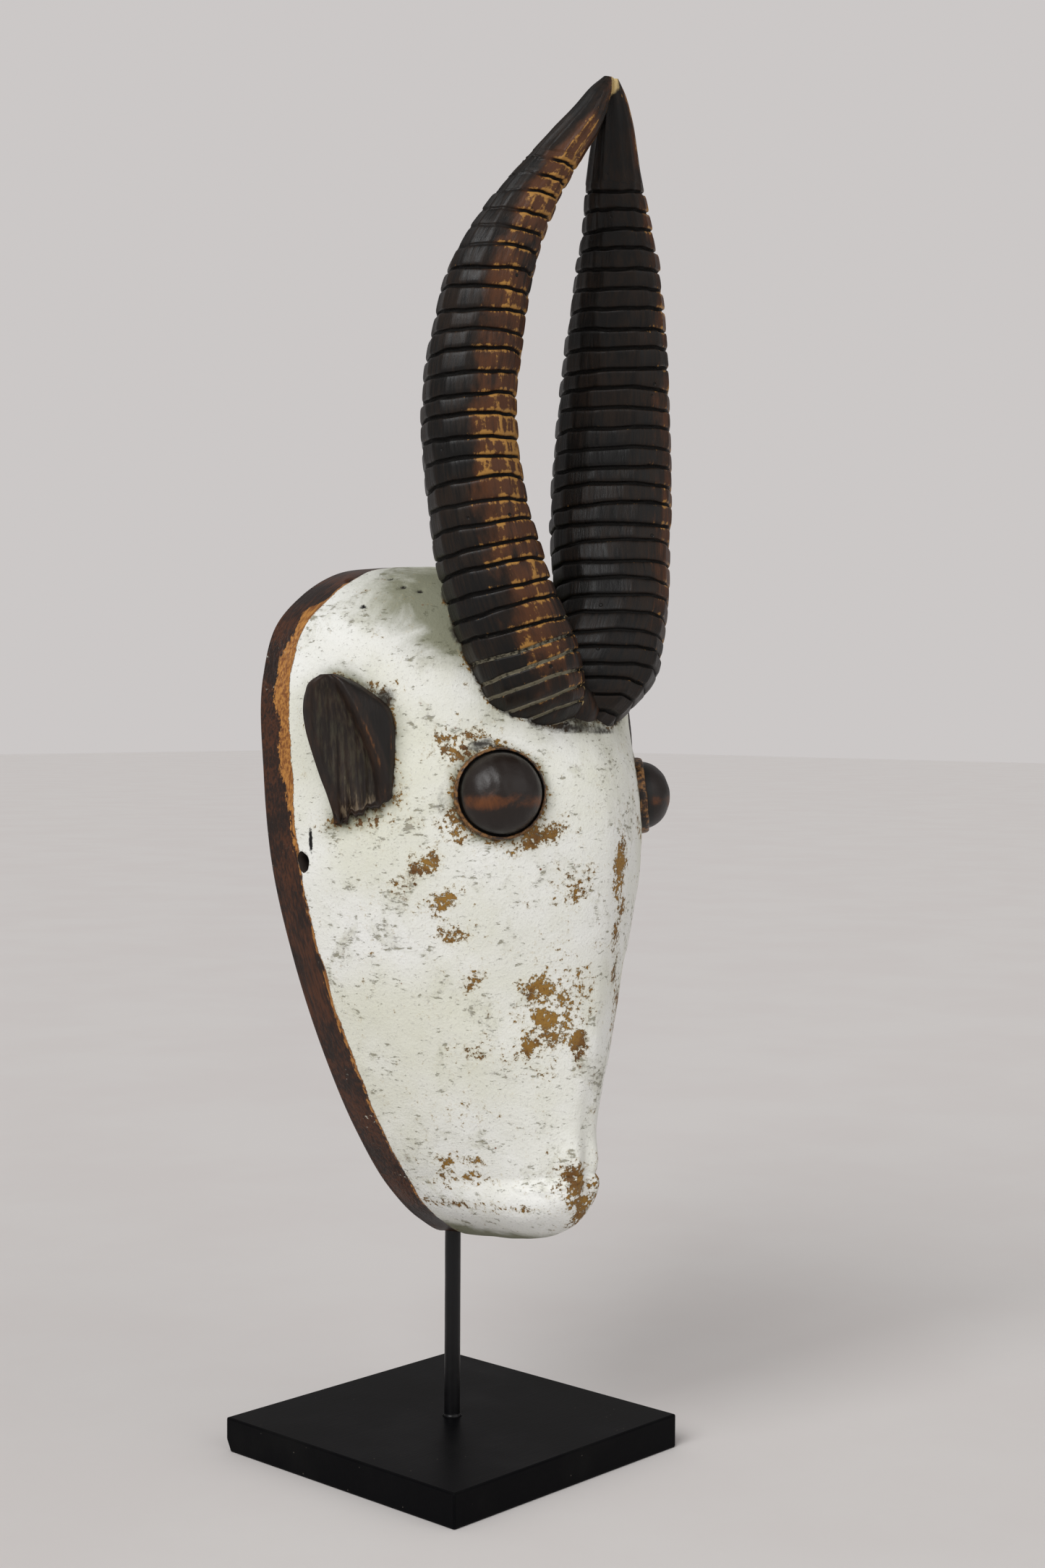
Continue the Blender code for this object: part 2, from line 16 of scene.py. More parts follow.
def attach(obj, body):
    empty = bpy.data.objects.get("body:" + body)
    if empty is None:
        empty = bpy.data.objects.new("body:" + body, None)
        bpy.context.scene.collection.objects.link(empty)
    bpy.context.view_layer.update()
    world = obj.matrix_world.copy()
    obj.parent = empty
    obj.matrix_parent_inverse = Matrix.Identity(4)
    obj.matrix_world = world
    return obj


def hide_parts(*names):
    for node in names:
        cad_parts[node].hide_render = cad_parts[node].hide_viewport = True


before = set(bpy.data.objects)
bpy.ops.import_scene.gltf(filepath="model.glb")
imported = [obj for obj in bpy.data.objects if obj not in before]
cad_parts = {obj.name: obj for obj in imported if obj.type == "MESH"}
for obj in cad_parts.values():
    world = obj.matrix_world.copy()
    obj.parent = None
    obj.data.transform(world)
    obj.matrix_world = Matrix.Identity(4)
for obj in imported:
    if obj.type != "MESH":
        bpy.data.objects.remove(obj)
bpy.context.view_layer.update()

# ---------------------------------------------------------------------------------------------
# Board: a square of fibreboard, sawn, its edges sanded round and the whole brushed with black
# eggshell paint. It lies on the table by its own weight; one lower corner is knocked off.
# ---------------------------------------------------------------------------------------------
BOARD_PAINT = "#08080a"
BOARD_RUBBED = "#121212"
BOARD_DUST = "#57524c"
BOARD_THICKNESS = 0.017
BRUSH_STREAK = 0.0022
DUST_SPECK = 0.004
PAINT_GRAIN = 0.0009
PAINT_CLOUD = 1 / 22


def linear(code):
    """Turns an sRGB hex colour into the linear numbers a shader takes."""
    parts = [int(code[k:k + 2], 16) / 255 for k in (1, 3, 5)]
    return (*[p / 12.92 if p <= 0.04045 else ((p + 0.055) / 1.055) ** 2.4 for p in parts], 1.0)


def node(tree, kind, feeds=(), **settings):
    """Adds a node: settings are its options, feeds what its sockets hold or are linked to."""
    item = tree.nodes.new(kind)
    for name, value in settings.items():
        setattr(item, name, value)
    for socket, value in dict(feeds).items():
        if isinstance(value, bpy.types.NodeSocket):
            tree.links.new(value, item.inputs[socket])
        else:
            item.inputs[socket].default_value = value
    return item.outputs


def noise(tree, place, size, detail, roughness=0.5, distortion=0.0):
    """Cloudy noise from 0 to 1 whose humps are some `size` metres apart."""
    return node(tree, "ShaderNodeTexNoise", {
        "Vector": place, "Scale": 1 / size, "Detail": detail, "Roughness": roughness,
        "Distortion": distortion})[0]


def ease(tree, value, start, end, top=1.0):
    """Rises softly from 0 to `top` while the value goes from start to end."""
    return node(tree, "ShaderNodeMapRange", {0: value, 1: start, 2: end, 4: top},
                interpolation_type="SMOOTHSTEP")[0]


def level(tree, value, start, end, low, high):
    """Goes evenly from low to high while the value goes from start to end."""
    return node(tree, "ShaderNodeMapRange", {0: value, 1: start, 2: end, 3: low, 4: high})[0]


def times(tree, first, second):
    """One value multiplied by another."""
    return node(tree, "ShaderNodeMath", {0: first, 1: second}, operation="MULTIPLY")[0]


def total(tree, start, *terms):
    """Adds to start each term, which is a value and its weight or a value alone."""
    for term in terms:
        value, weight = term if isinstance(term, tuple) else (term, 1.0)
        start = node(tree, "ShaderNodeMath", {0: value, 1: weight, 2: start},
                     operation="MULTIPLY_ADD")[0]
    return start


def stretch(tree, place, shares):
    """A place scaled along each axis; a small share draws the pattern out that way."""
    return node(tree, "ShaderNodeVectorMath", {0: place, 1: shares}, operation="MULTIPLY")[0]


def dots(tree, place, cell, edge, core):
    """Soft round spots, one in each cell of that size, and each cell's own random colour."""
    cells = node(tree, "ShaderNodeTexVoronoi", {"Vector": place, "Scale": 1 / cell})
    return ease(tree, cells["Distance"], edge, core), cells["Color"]


def blend(tree, share, first, second):
    """Goes from one colour to the other; each is a hex code or what another node gives."""
    first, second = (linear(c) if isinstance(c, str) else c for c in (first, second))
    return node(tree, "ShaderNodeMix", {0: share, 6: first, 7: second}, data_type="RGBA")[2]


def finish_named(name):
    """A new material, its node tree and the place on the piece that its patterns start from."""
    material = bpy.data.materials.new(name)
    material.use_nodes = True
    tree = material.node_tree
    return material, tree, node(tree, "ShaderNodeTexCoord")["Object"]


def dress(tree, colour, gloss, relief, strength, depth, shine=0.5):
    """Feeds a surface its colour, roughness, fine relief (`depth` in metres) and shine."""
    shader = tree.nodes["Principled BSDF"]
    bump = node(tree, "ShaderNodeBump", {"Strength": strength, "Distance": depth,
                                         "Height": relief})[0]
    for socket, value in (("Base Color", colour), ("Roughness", gloss), ("Normal", bump)):
        tree.links.new(value, shader.inputs[socket])
    shader.inputs["IOR"].default_value = 1.5
    shader.inputs["Specular IOR Level"].default_value = shine


# Eggshell paint on fibreboard: near black, a soft broken sheen, faint brush streaks and dust
board_paint, tree, place = finish_named("black eggshell paint on fibreboard")
streak_place = stretch(tree, place, (0.08, 1.0, 1.0))
streaks = noise(tree, streak_place, BRUSH_STREAK, 4.0, 0.6)
clouds = noise(tree, place, PAINT_CLOUD, 5.0)
speck_spot, speck_cell = dots(tree, place, DUST_SPECK, 0.10, 0.04)
speck_pick = node(tree, "ShaderNodeSeparateColor", {0: speck_cell})[0]
speck_rare = node(tree, "ShaderNodeMath", {0: speck_pick, 1: 0.93}, operation="GREATER_THAN")[0]
speck = times(tree, speck_spot, speck_rare)
worn = ease(tree, clouds, 0.45, 0.75)
colour = blend(tree, worn, BOARD_PAINT, BOARD_RUBBED)
colour = blend(tree, speck, colour, BOARD_DUST)
gloss = level(tree, clouds, 0.3, 0.7, 0.34, 0.46)
grain = noise(tree, place, PAINT_GRAIN, 2.0)
height = total(tree, grain, streaks)
dress(tree, colour, gloss, height, strength=0.35, depth=0.00012, shine=0.04)
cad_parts["base"].data.materials.clear()
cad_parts["base"].data.materials.append(board_paint)

# ---------------------------------------------------------------------------------------------
# Rod: a straight 8 mm round steel bar, pushed into a drilled hole in the board and up into the
# chin, and sprayed black with the board. The bar here carries the paint's small runs.
# ---------------------------------------------------------------------------------------------
ROD_RADIUS = 0.0040
ROD_LOW = 0.005
ROD_HIGH = 0.1257
ROD_PAINT = "#08080a"
ROD_RUBBED = "#232221"
ROD_SIDES = 64
ROD_STEPS = 160
PAINT_RUN = 0.00008
ROD_FILLET = 0.0012
ENAMEL_CLOUD = 1 / 140


def ripple(points, size, seed):
    """A smooth uneven field from about -1 to 1 whose humps are some `size` metres apart."""
    dice = np.random.default_rng(seed)
    total = np.zeros(len(points))
    for _ in range(16):
        way = dice.normal(size=3)
        way *= 2 * math.pi * dice.uniform(0.5, 1.5) / (size * np.linalg.norm(way))
        total += np.sin(points @ way + dice.uniform(0, 2 * math.pi))
    return np.clip(total / 5.6, -1.0, 1.0)


def rings_to_piece(name, rings, marks=(), weld=0.0000001):
    """A closed mesh through rings of points in the part's frame, with marks for its material."""
    rings = np.asarray(rings, float)
    count, around = rings.shape[:2]
    points = rings.reshape(-1, 3)
    lower = np.arange((count - 1) * around).reshape(count - 1, around)
    after = np.roll(lower, -1, axis=1)
    faces = np.stack([lower, after, after + around, lower + around], axis=-1).reshape(-1, 4)
    keys = np.round(points / weld).astype(np.int64)
    _, first, where = np.unique(keys, axis=0, return_index=True, return_inverse=True)
    faces = where.ravel()[faces]
    points = points[first]
    listed = []
    for face in faces.tolist():
        corners = [c for k, c in enumerate(face) if c != face[k - 1]]
        if len(set(corners)) > 2 and len(set(corners)) == len(corners):
            listed.append(corners)
    for end, turn in ((0, -1), (count - 1, 1)):
        cap = list(dict.fromkeys(where.ravel()[end * around:(end + 1) * around].tolist()))
        if len(cap) == around:
            listed.append(cap[::turn])
    mesh = bpy.data.meshes.new(name)
    mesh.from_pydata(points.tolist(), [], listed)
    for mark, values in dict(marks).items():
        values = np.asarray(values, np.float32).reshape(count * around, -1)[first]
        if values.shape[1] == 3:
            layer = mesh.attributes.new(mark, "FLOAT_VECTOR", "POINT")
            layer.data.foreach_set("vector", values.ravel())
        else:
            layer = mesh.attributes.new(mark, "FLOAT", "POINT")
            layer.data.foreach_set("value", values.ravel())
    work = bmesh.new()
    work.from_mesh(mesh)
    # where a row folds on itself one edge can carry four faces: it is shut to a point
    pinched = [edge for edge in work.edges if len(edge.link_faces) > 2]
    bmesh.ops.collapse(work, edges=pinched, uvs=False)
    bmesh.ops.recalc_face_normals(work, faces=work.faces)
    work.to_mesh(mesh)
    work.free()
    mesh.shade_smooth()
    piece = bpy.data.objects.new(name, mesh)
    bpy.context.scene.collection.objects.link(piece)
    return piece


climb = np.linspace(ROD_LOW, ROD_HIGH, ROD_STEPS)
turn = np.linspace(0, 2 * math.pi, ROD_SIDES, endpoint=False)
grid_z, grid_turn = np.meshgrid(climb, turn, indexing="ij")
unit = np.stack([np.cos(grid_turn), np.sin(grid_turn), grid_z / ROD_RADIUS], axis=-1)
run = ripple((unit * ROD_RADIUS * (1, 1, 0.2)).reshape(-1, 3), 0.006, 11).reshape(grid_z.shape)
fillet = ROD_FILLET * np.clip(1 - (grid_z - BOARD_THICKNESS) / ROD_FILLET, 0, 1) ** 2
fillet = np.where(grid_z > BOARD_THICKNESS, fillet, 0.0)
reach = ROD_RADIUS - PAINT_RUN * (1 + run) / 2 + fillet
rings = np.stack([reach * unit[..., 0], reach * unit[..., 1], grid_z], axis=-1)
rod = rings_to_piece("rod_painted", rings)

# Sprayed enamel on steel: black, a little glossier than the board, rubbed grey in places
rod_paint, tree, place = finish_named("black enamel on steel bar")
clouds = noise(tree, place, ENAMEL_CLOUD, 5.0)
worn = ease(tree, clouds, 0.60, 0.80)
colour = blend(tree, worn, ROD_PAINT, ROD_RUBBED)
gloss = level(tree, clouds, 0.3, 0.7, 0.30, 0.46)
grain = noise(tree, place, PAINT_GRAIN, 2.0)
dress(tree, colour, gloss, grain, strength=0.3, depth=0.0001, shine=0.3)
rod.data.materials.append(rod_paint)
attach(rod, "root")
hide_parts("rod")

# ---------------------------------------------------------------------------------------------
# Head: one block of light wood, hollowed from behind with an adze and shaped outside with a
# knife. The face is coated with white kaolin that has rubbed through to ochre wood on its
# prominent parts; a band round the back edge was left bare and is dark with handling.
# ---------------------------------------------------------------------------------------------
HEAD_LEAN = math.radians(3.2)
HEAD_FOOT = 0.1097
ROD_SETBACK = 0.0075
HEAD_HEIGHT = 0.3335
HEAD_WIDTH = 0.2175
HEAD_DEPTH = 0.1155
RIM_ROUNDING = 0.0025
SIDE_WALL = 0.012
FRONT_WALL = 0.022
CHIN_WALL = 0.024
RIM_BAND = 0.0182
TOP_BAND = 0.0032
KAOLIN_COAT = 0.00035
KNIFE_FACET = 0.034
KNIFE_DEPTH = 0.0007
ADZE_FACET = 0.016
ADZE_DEPTH = 0.0012
HEAD_COLUMNS = 440
FACE_ROWS = 122
RIM_ROWS = 5
LAND_ROWS = 4
HOLLOW_ROWS = 46

# Half of the rim seen from the front, as shares of half the head's width and of its height
RIM_POINTS = [
    (0.000, 0.000), (0.160, 0.026), (0.338, 0.080), (0.529, 0.172), (0.704, 0.288),
    (0.870, 0.435), (0.971, 0.568), (1.000, 0.700), (0.982, 0.835), (0.900, 0.905),
    (0.745, 0.950), (0.540, 0.983), (0.280, 0.996), (0.000, 1.000)]

# The line down the middle of the face: height and depth as shares of the head's own
FACE_LINE = [
    (0.110, 0.846), (0.186, 0.883), (0.280, 0.926), (0.390, 0.962), (0.470, 1.005),
    (0.545, 1.036), (0.610, 1.042), (0.670, 1.021), (0.740, 0.954), (0.810, 0.915)]

# How full the side of the face bulges at each height: 2 is an ellipse, less is a wedge
FULLNESS = [
    (0.110, 1.50), (0.180, 1.50), (0.270, 1.55), (0.380, 1.60), (0.500, 1.64), (0.640, 1.65),
    (0.810, 1.72)]
CHIN_FULLNESS = 3.4
CROWN_FULLNESS = 2.10

# Where the kaolin has rubbed through: middle across and up, half width, half height, turn in
# degrees and how far gone. The first ones are the right side's, the last ones the left side's.
RUBBED_PLACES = [
    (-0.0205, 0.1150, 0.0125, 0.0185, 10, 1.02), (-0.0120, 0.1250, 0.0070, 0.0080, 0, 0.80),
    (-0.0245, 0.1135, 0.0060, 0.0045, 0, 1.60), (-0.0290, 0.1270, 0.0065, 0.0050, 0, 1.40),
    (-0.0100, 0.1010, 0.0040, 0.0070, 0, 1.45), (-0.0300, 0.1010, 0.0035, 0.0090, 20, 1.20),
    (0.0095, 0.1825, 0.0055, 0.0150, 8, 1.35), (0.0115, 0.1580, 0.0055, 0.0150, 6, 1.05),
    (-0.0765, 0.1860, 0.0035, 0.0110, 30, 1.10), (-0.0680, 0.1700, 0.0045, 0.0070, 30, 1.10),
    (-0.0629, 0.1549, 0.0045, 0.0035, 0, 1.20), (-0.0532, 0.1332, 0.0030, 0.0060, 0, 1.00),
    (-0.0374, 0.0450, 0.0055, 0.0035, 20, 0.85), (-0.0331, 0.0354, 0.0060, 0.0035, 20, 0.75),
    (-0.0062, 0.0330, 0.0050, 0.0110, 0, 1.45), (-0.0005, 0.0210, 0.0060, 0.0090, 0, 1.30),
    (-0.0226, 0.0212, 0.0060, 0.0022, 0, 0.75), (-0.0310, 0.0215, 0.0055, 0.0022, 0, 0.80),
    (-0.0184, 0.1749, 0.0080, 0.0090, 0, 0.95), (-0.0350, 0.1990, 0.0125, 0.0050, -25, 1.20),
    (-0.0625, 0.2390, 0.0050, 0.0075, -20, 1.15), (-0.0570, 0.2460, 0.0060, 0.0035, -20, 1.10),
    (-0.0665, 0.2045, 0.0036, 0.0070, 0, 1.10),
    (-0.0840, 0.2670, 0.0050, 0.0060, 0, 0.85), (-0.0825, 0.2220, 0.0022, 0.0090, 0, 0.75),
    (-0.0815, 0.2090, 0.0050, 0.0040, 0, 0.70), (-0.0940, 0.2080, 0.0070, 0.0030, 0, 0.80),
    (-0.0480, 0.0990, 0.0060, 0.0050, 0, 0.55), (0.0150, 0.1320, 0.0040, 0.0080, 0, 0.75),
    (-0.0450, 0.0700, 0.0070, 0.0050, 0, 0.50), (-0.0250, 0.1450, 0.0080, 0.0060, 0, 0.55),
    (0.0260, 0.1120, 0.0100, 0.0160, -10, 0.90), (0.0120, 0.0290, 0.0065, 0.0120, 0, 1.00),
    (0.0760, 0.1780, 0.0080, 0.0110, -30, 0.90), (0.0500, 0.1340, 0.0060, 0.0080, 0, 0.75),
    (0.0420, 0.2000, 0.0100, 0.0050, 25, 0.85), (0.0780, 0.2350, 0.0045, 0.0080, 20, 0.90),
    (0.0360, 0.0430, 0.0070, 0.0050, -20, 0.80), (0.0880, 0.2680, 0.0050, 0.0070, 0, 0.80),
    (0.0560, 0.0920, 0.0080, 0.0060, 0, 0.70), (0.0300, 0.2960, 0.0090, 0.0050, 0, 0.60)]

# Dark smudges of soot and old grease, laid out in the same way
SMUDGED_PLACES = [
    (-0.0855, 0.2625, 0.0036, 0.0075, 25, 0.95), (-0.0895, 0.2690, 0.0045, 0.0035, 30, 0.70),
    (-0.0100, 0.2478, 0.0150, 0.0018, 0, 0.95), (-0.0700, 0.2160, 0.0022, 0.0100, 0, 0.55),
    (-0.0535, 0.2420, 0.0055, 0.0022, -15, 1.00), (-0.0300, 0.2530, 0.0050, 0.0016, 0, 0.80),
    (-0.0810, 0.2900, 0.0080, 0.0030, 0, 0.35), (-0.1000, 0.2030, 0.0030, 0.0090, 0, 0.40),
    (-0.0526, 0.0805, 0.0080, 0.0040, 0, 0.35), (0.0100, 0.2470, 0.0140, 0.0018, 0, 0.90),
    (0.0880, 0.2640, 0.0042, 0.0080, -25, 0.95), (0.0780, 0.2120, 0.0025, 0.0090, 0, 0.50),
    (0.0580, 0.0900, 0.0080, 0.0050, 0, 0.35)]

# Beetle holes in the crown beside the horns, as places across and up
CROWN_HOLES = [
    (-0.0670, 0.3232), (-0.0578, 0.3235), (-0.0600, 0.3180), (-0.0572, 0.3158),
    (-0.0450, 0.3165), (-0.0790, 0.3090), (0.0620, 0.3180), (0.0510, 0.3225)]
CROWN_HOLE_RADIUS = 0.0017
CROWN_HOLE_DEPTH = 0.0016

# A knife slip above the right cord hole: its middle across, up and forward
SLIP_MIDDLE = (-0.1022, 0.2002, 0.0254)
SLIP_WIDTH = 0.0018
SLIP_LENGTH = 0.0125

# Where the bare rim has lost its dark skin, down to tan wood, laid out like the rubbed places
TAN_PLACES = [
    (-0.1060, 0.2780, 0.0300, 0.0220, 0, 1.00), (-0.1080, 0.2380, 0.0200, 0.0150, 0, 0.85),
    (-0.0900, 0.3060, 0.0080, 0.0060, 0, 0.80), (0.1070, 0.2600, 0.0300, 0.0260, 0, 0.80)]

KAOLIN = "#e9eae2"
KAOLIN_BRIGHT = "#f1f2ee"
KAOLIN_DULL = "#d3d3c4"
KAOLIN_YELLOW = "#d6d6bb"
KAOLIN_PAINTED_SHADE = "#7d7e66"
KAOLIN_THIN = "#bfae84"
KAOLIN_PIT = "#8f8b76"
OCHRE_WOOD = "#96702f"
OCHRE_DARK = "#67451f"
SOOT_AND_HOLE_SHADE = "#1f1813"
PIT_SHADE = "#0c0a09"
RUST_SPECK = "#77492a"
GREY_SMEAR = "#aaa7a2"
RIM_DARK = "#1f120c"
RIM_RED = "#4c2a16"
RIM_TAN = "#b9813f"
RIM_BROWN = "#7c4a20"
HOLLOW_WOOD = "#5d4128"
HOLLOW_DARK = "#2b1c11"
KAOLIN_GRAIN = 0.0013
KAOLIN_DASH = 0.0019
FLAKE = 0.0085
FLAKE_FINE = 0.0022
RIM_FIBRE = 0.0011
HOLLOW_FIBRE = 1 / 520
KAOLIN_CLOUD = 1 / 16
YELLOW_CLOUD = 1 / 9
SMEAR = 1 / 42
RIM_CLOUD = 1 / 60
TAN_CLOUD = 1 / 28
RUST_CELL = 1 / 260
WORM_CELL = 1 / 95


def smooth_read(rows, at):
    """Reads a smooth curve through rows of (key, value, ...) at the given keys."""
    table = np.asarray(rows, float)
    keys, values = table[:, 0], table[:, 1:]
    slopes = np.gradient(values, keys, axis=0)
    at = np.clip(np.atleast_1d(at), keys[0], keys[-1])
    k = np.clip(np.searchsorted(keys, at, side="right") - 1, 0, len(keys) - 2)
    span = (keys[k + 1] - keys[k])[:, None]
    t = (at[:, None] - keys[k][:, None]) / span
    start = (1 + 2 * t) * (1 - t) ** 2
    end = t * t * (3 - 2 * t)
    leave = t * (1 - t) ** 2 * span
    arrive = t * t * (t - 1) * span
    return start * values[k] + end * values[k + 1] + leave * slopes[k] + arrive * slopes[k + 1]


def lengths_along(points):
    """Distance along a chain of points, from 0 at its start."""
    steps = np.linalg.norm(np.diff(points, axis=0), axis=1)
    return np.concatenate([[0.0], np.cumsum(steps)])


def smooth_step(t):
    """Rises from 0 to 1 with level ends."""
    t = np.clip(t, 0.0, 1.0)
    return t * t * (3 - 2 * t)


def stood(points):
    """Turns places on the mask (across, up, forward of its back) into the part's frame."""
    u, v, w = np.moveaxis(np.asarray(points, float), -1, 0)
    c, s = math.cos(HEAD_LEAN), math.sin(HEAD_LEAN)
    return np.stack([u, v * s - w * c + ROD_SETBACK, v * c + w * s + HEAD_FOOT], axis=-1)


def rim_outline(columns):
    """Points round the whole rim, from the chin up the right side and down the left one."""
    half = np.array(RIM_POINTS) * (HEAD_WIDTH / 2, HEAD_HEIGHT)
    chain = np.vstack([half[1] * (-1, 1), half, half[-2] * (-1, 1)])
    keys = lengths_along(chain)
    at = np.linspace(keys[1], keys[-2], columns // 2 + 1)
    curve = smooth_read(np.column_stack([keys, chain]), at)
    curve[0, 0] = curve[-1, 0] = 0.0
    return np.vstack([curve * (-1, 1), curve[-2:0:-1]])


def muzzle_relief(u, v):
    """Two low lobes at the front of the muzzle with a shallow channel between and above them."""
    lobe_u, lobe_v = 0.040 * HEAD_WIDTH, 0.122 * HEAD_HEIGHT
    lobe = np.exp(-((np.abs(u) - lobe_u) / (0.032 * HEAD_WIDTH)) ** 2)
    lobe *= np.exp(-((v - lobe_v) / (0.036 * HEAD_HEIGHT)) ** 2)
    channel = np.exp(-(u / (0.022 * HEAD_WIDTH)) ** 2)
    channel *= smooth_step((0.30 * HEAD_HEIGHT - v) / (0.10 * HEAD_HEIGHT))
    channel *= smooth_step((v - 0.02 * HEAD_HEIGHT) / (0.06 * HEAD_HEIGHT))
    return HEAD_DEPTH * (0.045 * lobe - 0.018 * channel)


def face_rows(outline, rows, side_inset, front_inset, chin_inset, start):
    """Rows of the domed face from the rim, at depth `start`, to the line down its middle."""
    u, v = outline[:, 0], outline[:, 1]
    low, high = FACE_LINE[0][0] * HEAD_HEIGHT, FACE_LINE[-1][0] * HEAD_HEIGHT
    middle_v = np.clip(v, low, high)
    depth = smooth_read(FACE_LINE, middle_v / HEAD_HEIGHT)[:, 0] * HEAD_DEPTH - front_inset
    fullness = smooth_read(FULLNESS, middle_v / HEAD_HEIGHT)[:, 0]
    reach = np.hypot(u, v - middle_v)
    tilt = smooth_step(np.abs(v - middle_v) / reach)
    end_fullness = np.where(v < middle_v, CHIN_FULLNESS, CROWN_FULLNESS)
    fullness = fullness + (end_fullness - fullness) * tilt
    inset = side_inset + (chin_inset - side_inset) * np.where(v < middle_v, tilt, 0.0)
    share = (reach - inset) / reach
    result = []
    for angle in np.linspace(0.0, math.pi / 2, rows + 1):
        across = max(math.cos(angle), 0.0) ** (2 / fullness) * share
        forward = math.sin(angle) ** (2 / fullness)
        if angle == math.pi / 2:
            across = across * 0.0
        row_u = u * across
        row_v = middle_v + (v - middle_v) * across
        relief = muzzle_relief(row_u, row_v) * smooth_step(2 * forward - 1)
        row_w = start + (depth - start) * forward + relief
        result.append(np.column_stack([row_u, row_v, row_w]))
    return np.array(result)


def patches(points, places):
    """How strongly each point lies in any of the listed oval places, from 0 to about 1."""
    total = np.zeros(points.shape[:-1])
    for u, v, wide, high, degrees, strength in places:
        c, s = math.cos(math.radians(degrees)), math.sin(math.radians(degrees))
        du, dv = points[..., 0] - u, points[..., 1] - v
        far = ((du * c - dv * s) / wide) ** 2 + ((du * s + dv * c) / high) ** 2
        total = np.maximum(total, strength * np.exp(-0.5 * far ** 1.3))
    return total


outline = rim_outline(HEAD_COLUMNS)
centre = np.array((0, HEAD_HEIGHT / 2))
inward = (outline - centre) / np.linalg.norm(outline - centre, axis=1)[:, None]
face = face_rows(outline, FACE_ROWS, 0.0, 0.0, 0.0, RIM_ROUNDING)[::-1]
hollow = face_rows(outline, HOLLOW_ROWS, SIDE_WALL, FRONT_WALL, CHIN_WALL, 0.0)
edge = []
for angle in np.linspace(0, math.pi / 2, RIM_ROWS + 1)[1:]:
    inset = inward * RIM_ROUNDING * (1 - math.cos(angle))
    low = np.full(len(outline), RIM_ROUNDING * (1 - math.sin(angle)))
    edge.append(np.column_stack([outline - inset, low]))
land = [edge[-1] + (hollow[0] - edge[-1]) * share
        for share in np.linspace(0, 1, LAND_ROWS + 1)[1:-1]]
head_rings = np.concatenate([face, edge, land, hollow])
row = np.arange(len(head_rings))[:, None] * np.ones(HEAD_COLUMNS)
outside = row < len(face)
inside = row >= len(face) + len(edge) + len(land)

# The knife left broad shallow facets outside and the adze short scallops inside, and the coat
# of kaolin stands a little proud of the bare rim
flat = head_rings.reshape(-1, 3)
depth_from_back = head_rings[..., 2]
facets = ripple(flat, KNIFE_FACET, 21).reshape(row.shape)
fine_facets = ripple(flat, KNIFE_FACET / 3, 22).reshape(row.shape)
scallops = ripple(flat * (1, 0.6, 1), ADZE_FACET, 23).reshape(row.shape)
sink = KNIFE_DEPTH * (0.5 + 0.35 * facets + 0.15 * fine_facets) * smooth_step(
    depth_from_back / RIM_BAND) * outside
sink = sink + ADZE_DEPTH * (0.5 + 0.5 * scallops) * smooth_step(depth_from_back / 0.02) * inside
bare_edge = RIM_BAND + 0.0007 * ripple(flat, 0.02, 24).reshape(row.shape)
bare_edge = bare_edge + TOP_BAND * smooth_step((head_rings[..., 1] - 0.285) / 0.03)
sink = sink + KAOLIN_COAT * smooth_step((bare_edge - depth_from_back) / 0.0008) * outside * (
    smooth_step(depth_from_back / 0.004))
holes = np.zeros(row.shape)
hole_mouths = []
for u, v in CROWN_HOLES:
    flat_far = np.hypot(head_rings[..., 0] - u, head_rings[..., 1] - v)
    flat_far = flat_far + 1.0 * (~outside | (depth_from_back < RIM_BAND))
    mouth = head_rings[np.unravel_index(np.argmin(flat_far), flat_far.shape)]
    hole_mouths.append(mouth)
    near = np.linalg.norm(head_rings - mouth, axis=-1)
    holes = np.maximum(holes, smooth_step((CROWN_HOLE_RADIUS * 1.5 - near) / CROWN_HOLE_RADIUS))
holes = holes * outside
sink = sink + CROWN_HOLE_DEPTH * holes
down = np.gradient(head_rings, axis=0)
side = np.roll(head_rings, -1, axis=1) - np.roll(head_rings, 1, axis=1)
normal = np.cross(side, down)
size = np.linalg.norm(normal, axis=-1, keepdims=True)
normal = np.where(size > 1e-12, normal / np.maximum(size, 1e-12), 0.0)
middle = np.array((0.0, HEAD_HEIGHT * 0.55, 0.045))
outward = np.sign(np.sum(normal * (head_rings - middle), axis=-1, keepdims=True))
normal = normal * outward
normal[0] = normal[-1] = (0.0, 0.0, 1.0)
head_rings = head_rings + normal * np.where(outside, -sink, sink * inside)[..., None]
back_rows = head_rings[len(face) - 1 + len(edge):]
back_rows[..., 2] = np.maximum(back_rows[..., 2], 0)

edge_mark = np.where(outside, (depth_from_back - bare_edge) * 1000, -20.0)
rubbed = patches(head_rings, RUBBED_PLACES) * outside
# round each beetle hole in the crown the white is also darkened to soot colour as painted shade
smudged = np.maximum(patches(head_rings, SMUDGED_PLACES) * outside, holes)
tan_wood = patches(head_rings, TAN_PLACES) * outside
along_rim = lengths_along(np.vstack([outline, outline[:1]]))[:-1]
rim_place = np.stack([along_rim * np.ones(row.shape), head_rings[..., 2],
                      np.linalg.norm(head_rings[..., :2] - centre, axis=-1)], axis=-1)
head = rings_to_piece("head_carved", stood(head_rings), {
    "edge": edge_mark, "rubbed": rubbed, "smudged": smudged, "inside": inside.astype(float),
    "tan": tan_wood, "rim_place": rim_place})


def marked(tree, mark, output="Fac"):
    """What each point of the mesh carries under that name."""
    return node(tree, "ShaderNodeAttribute", attribute_name=mark)[output]
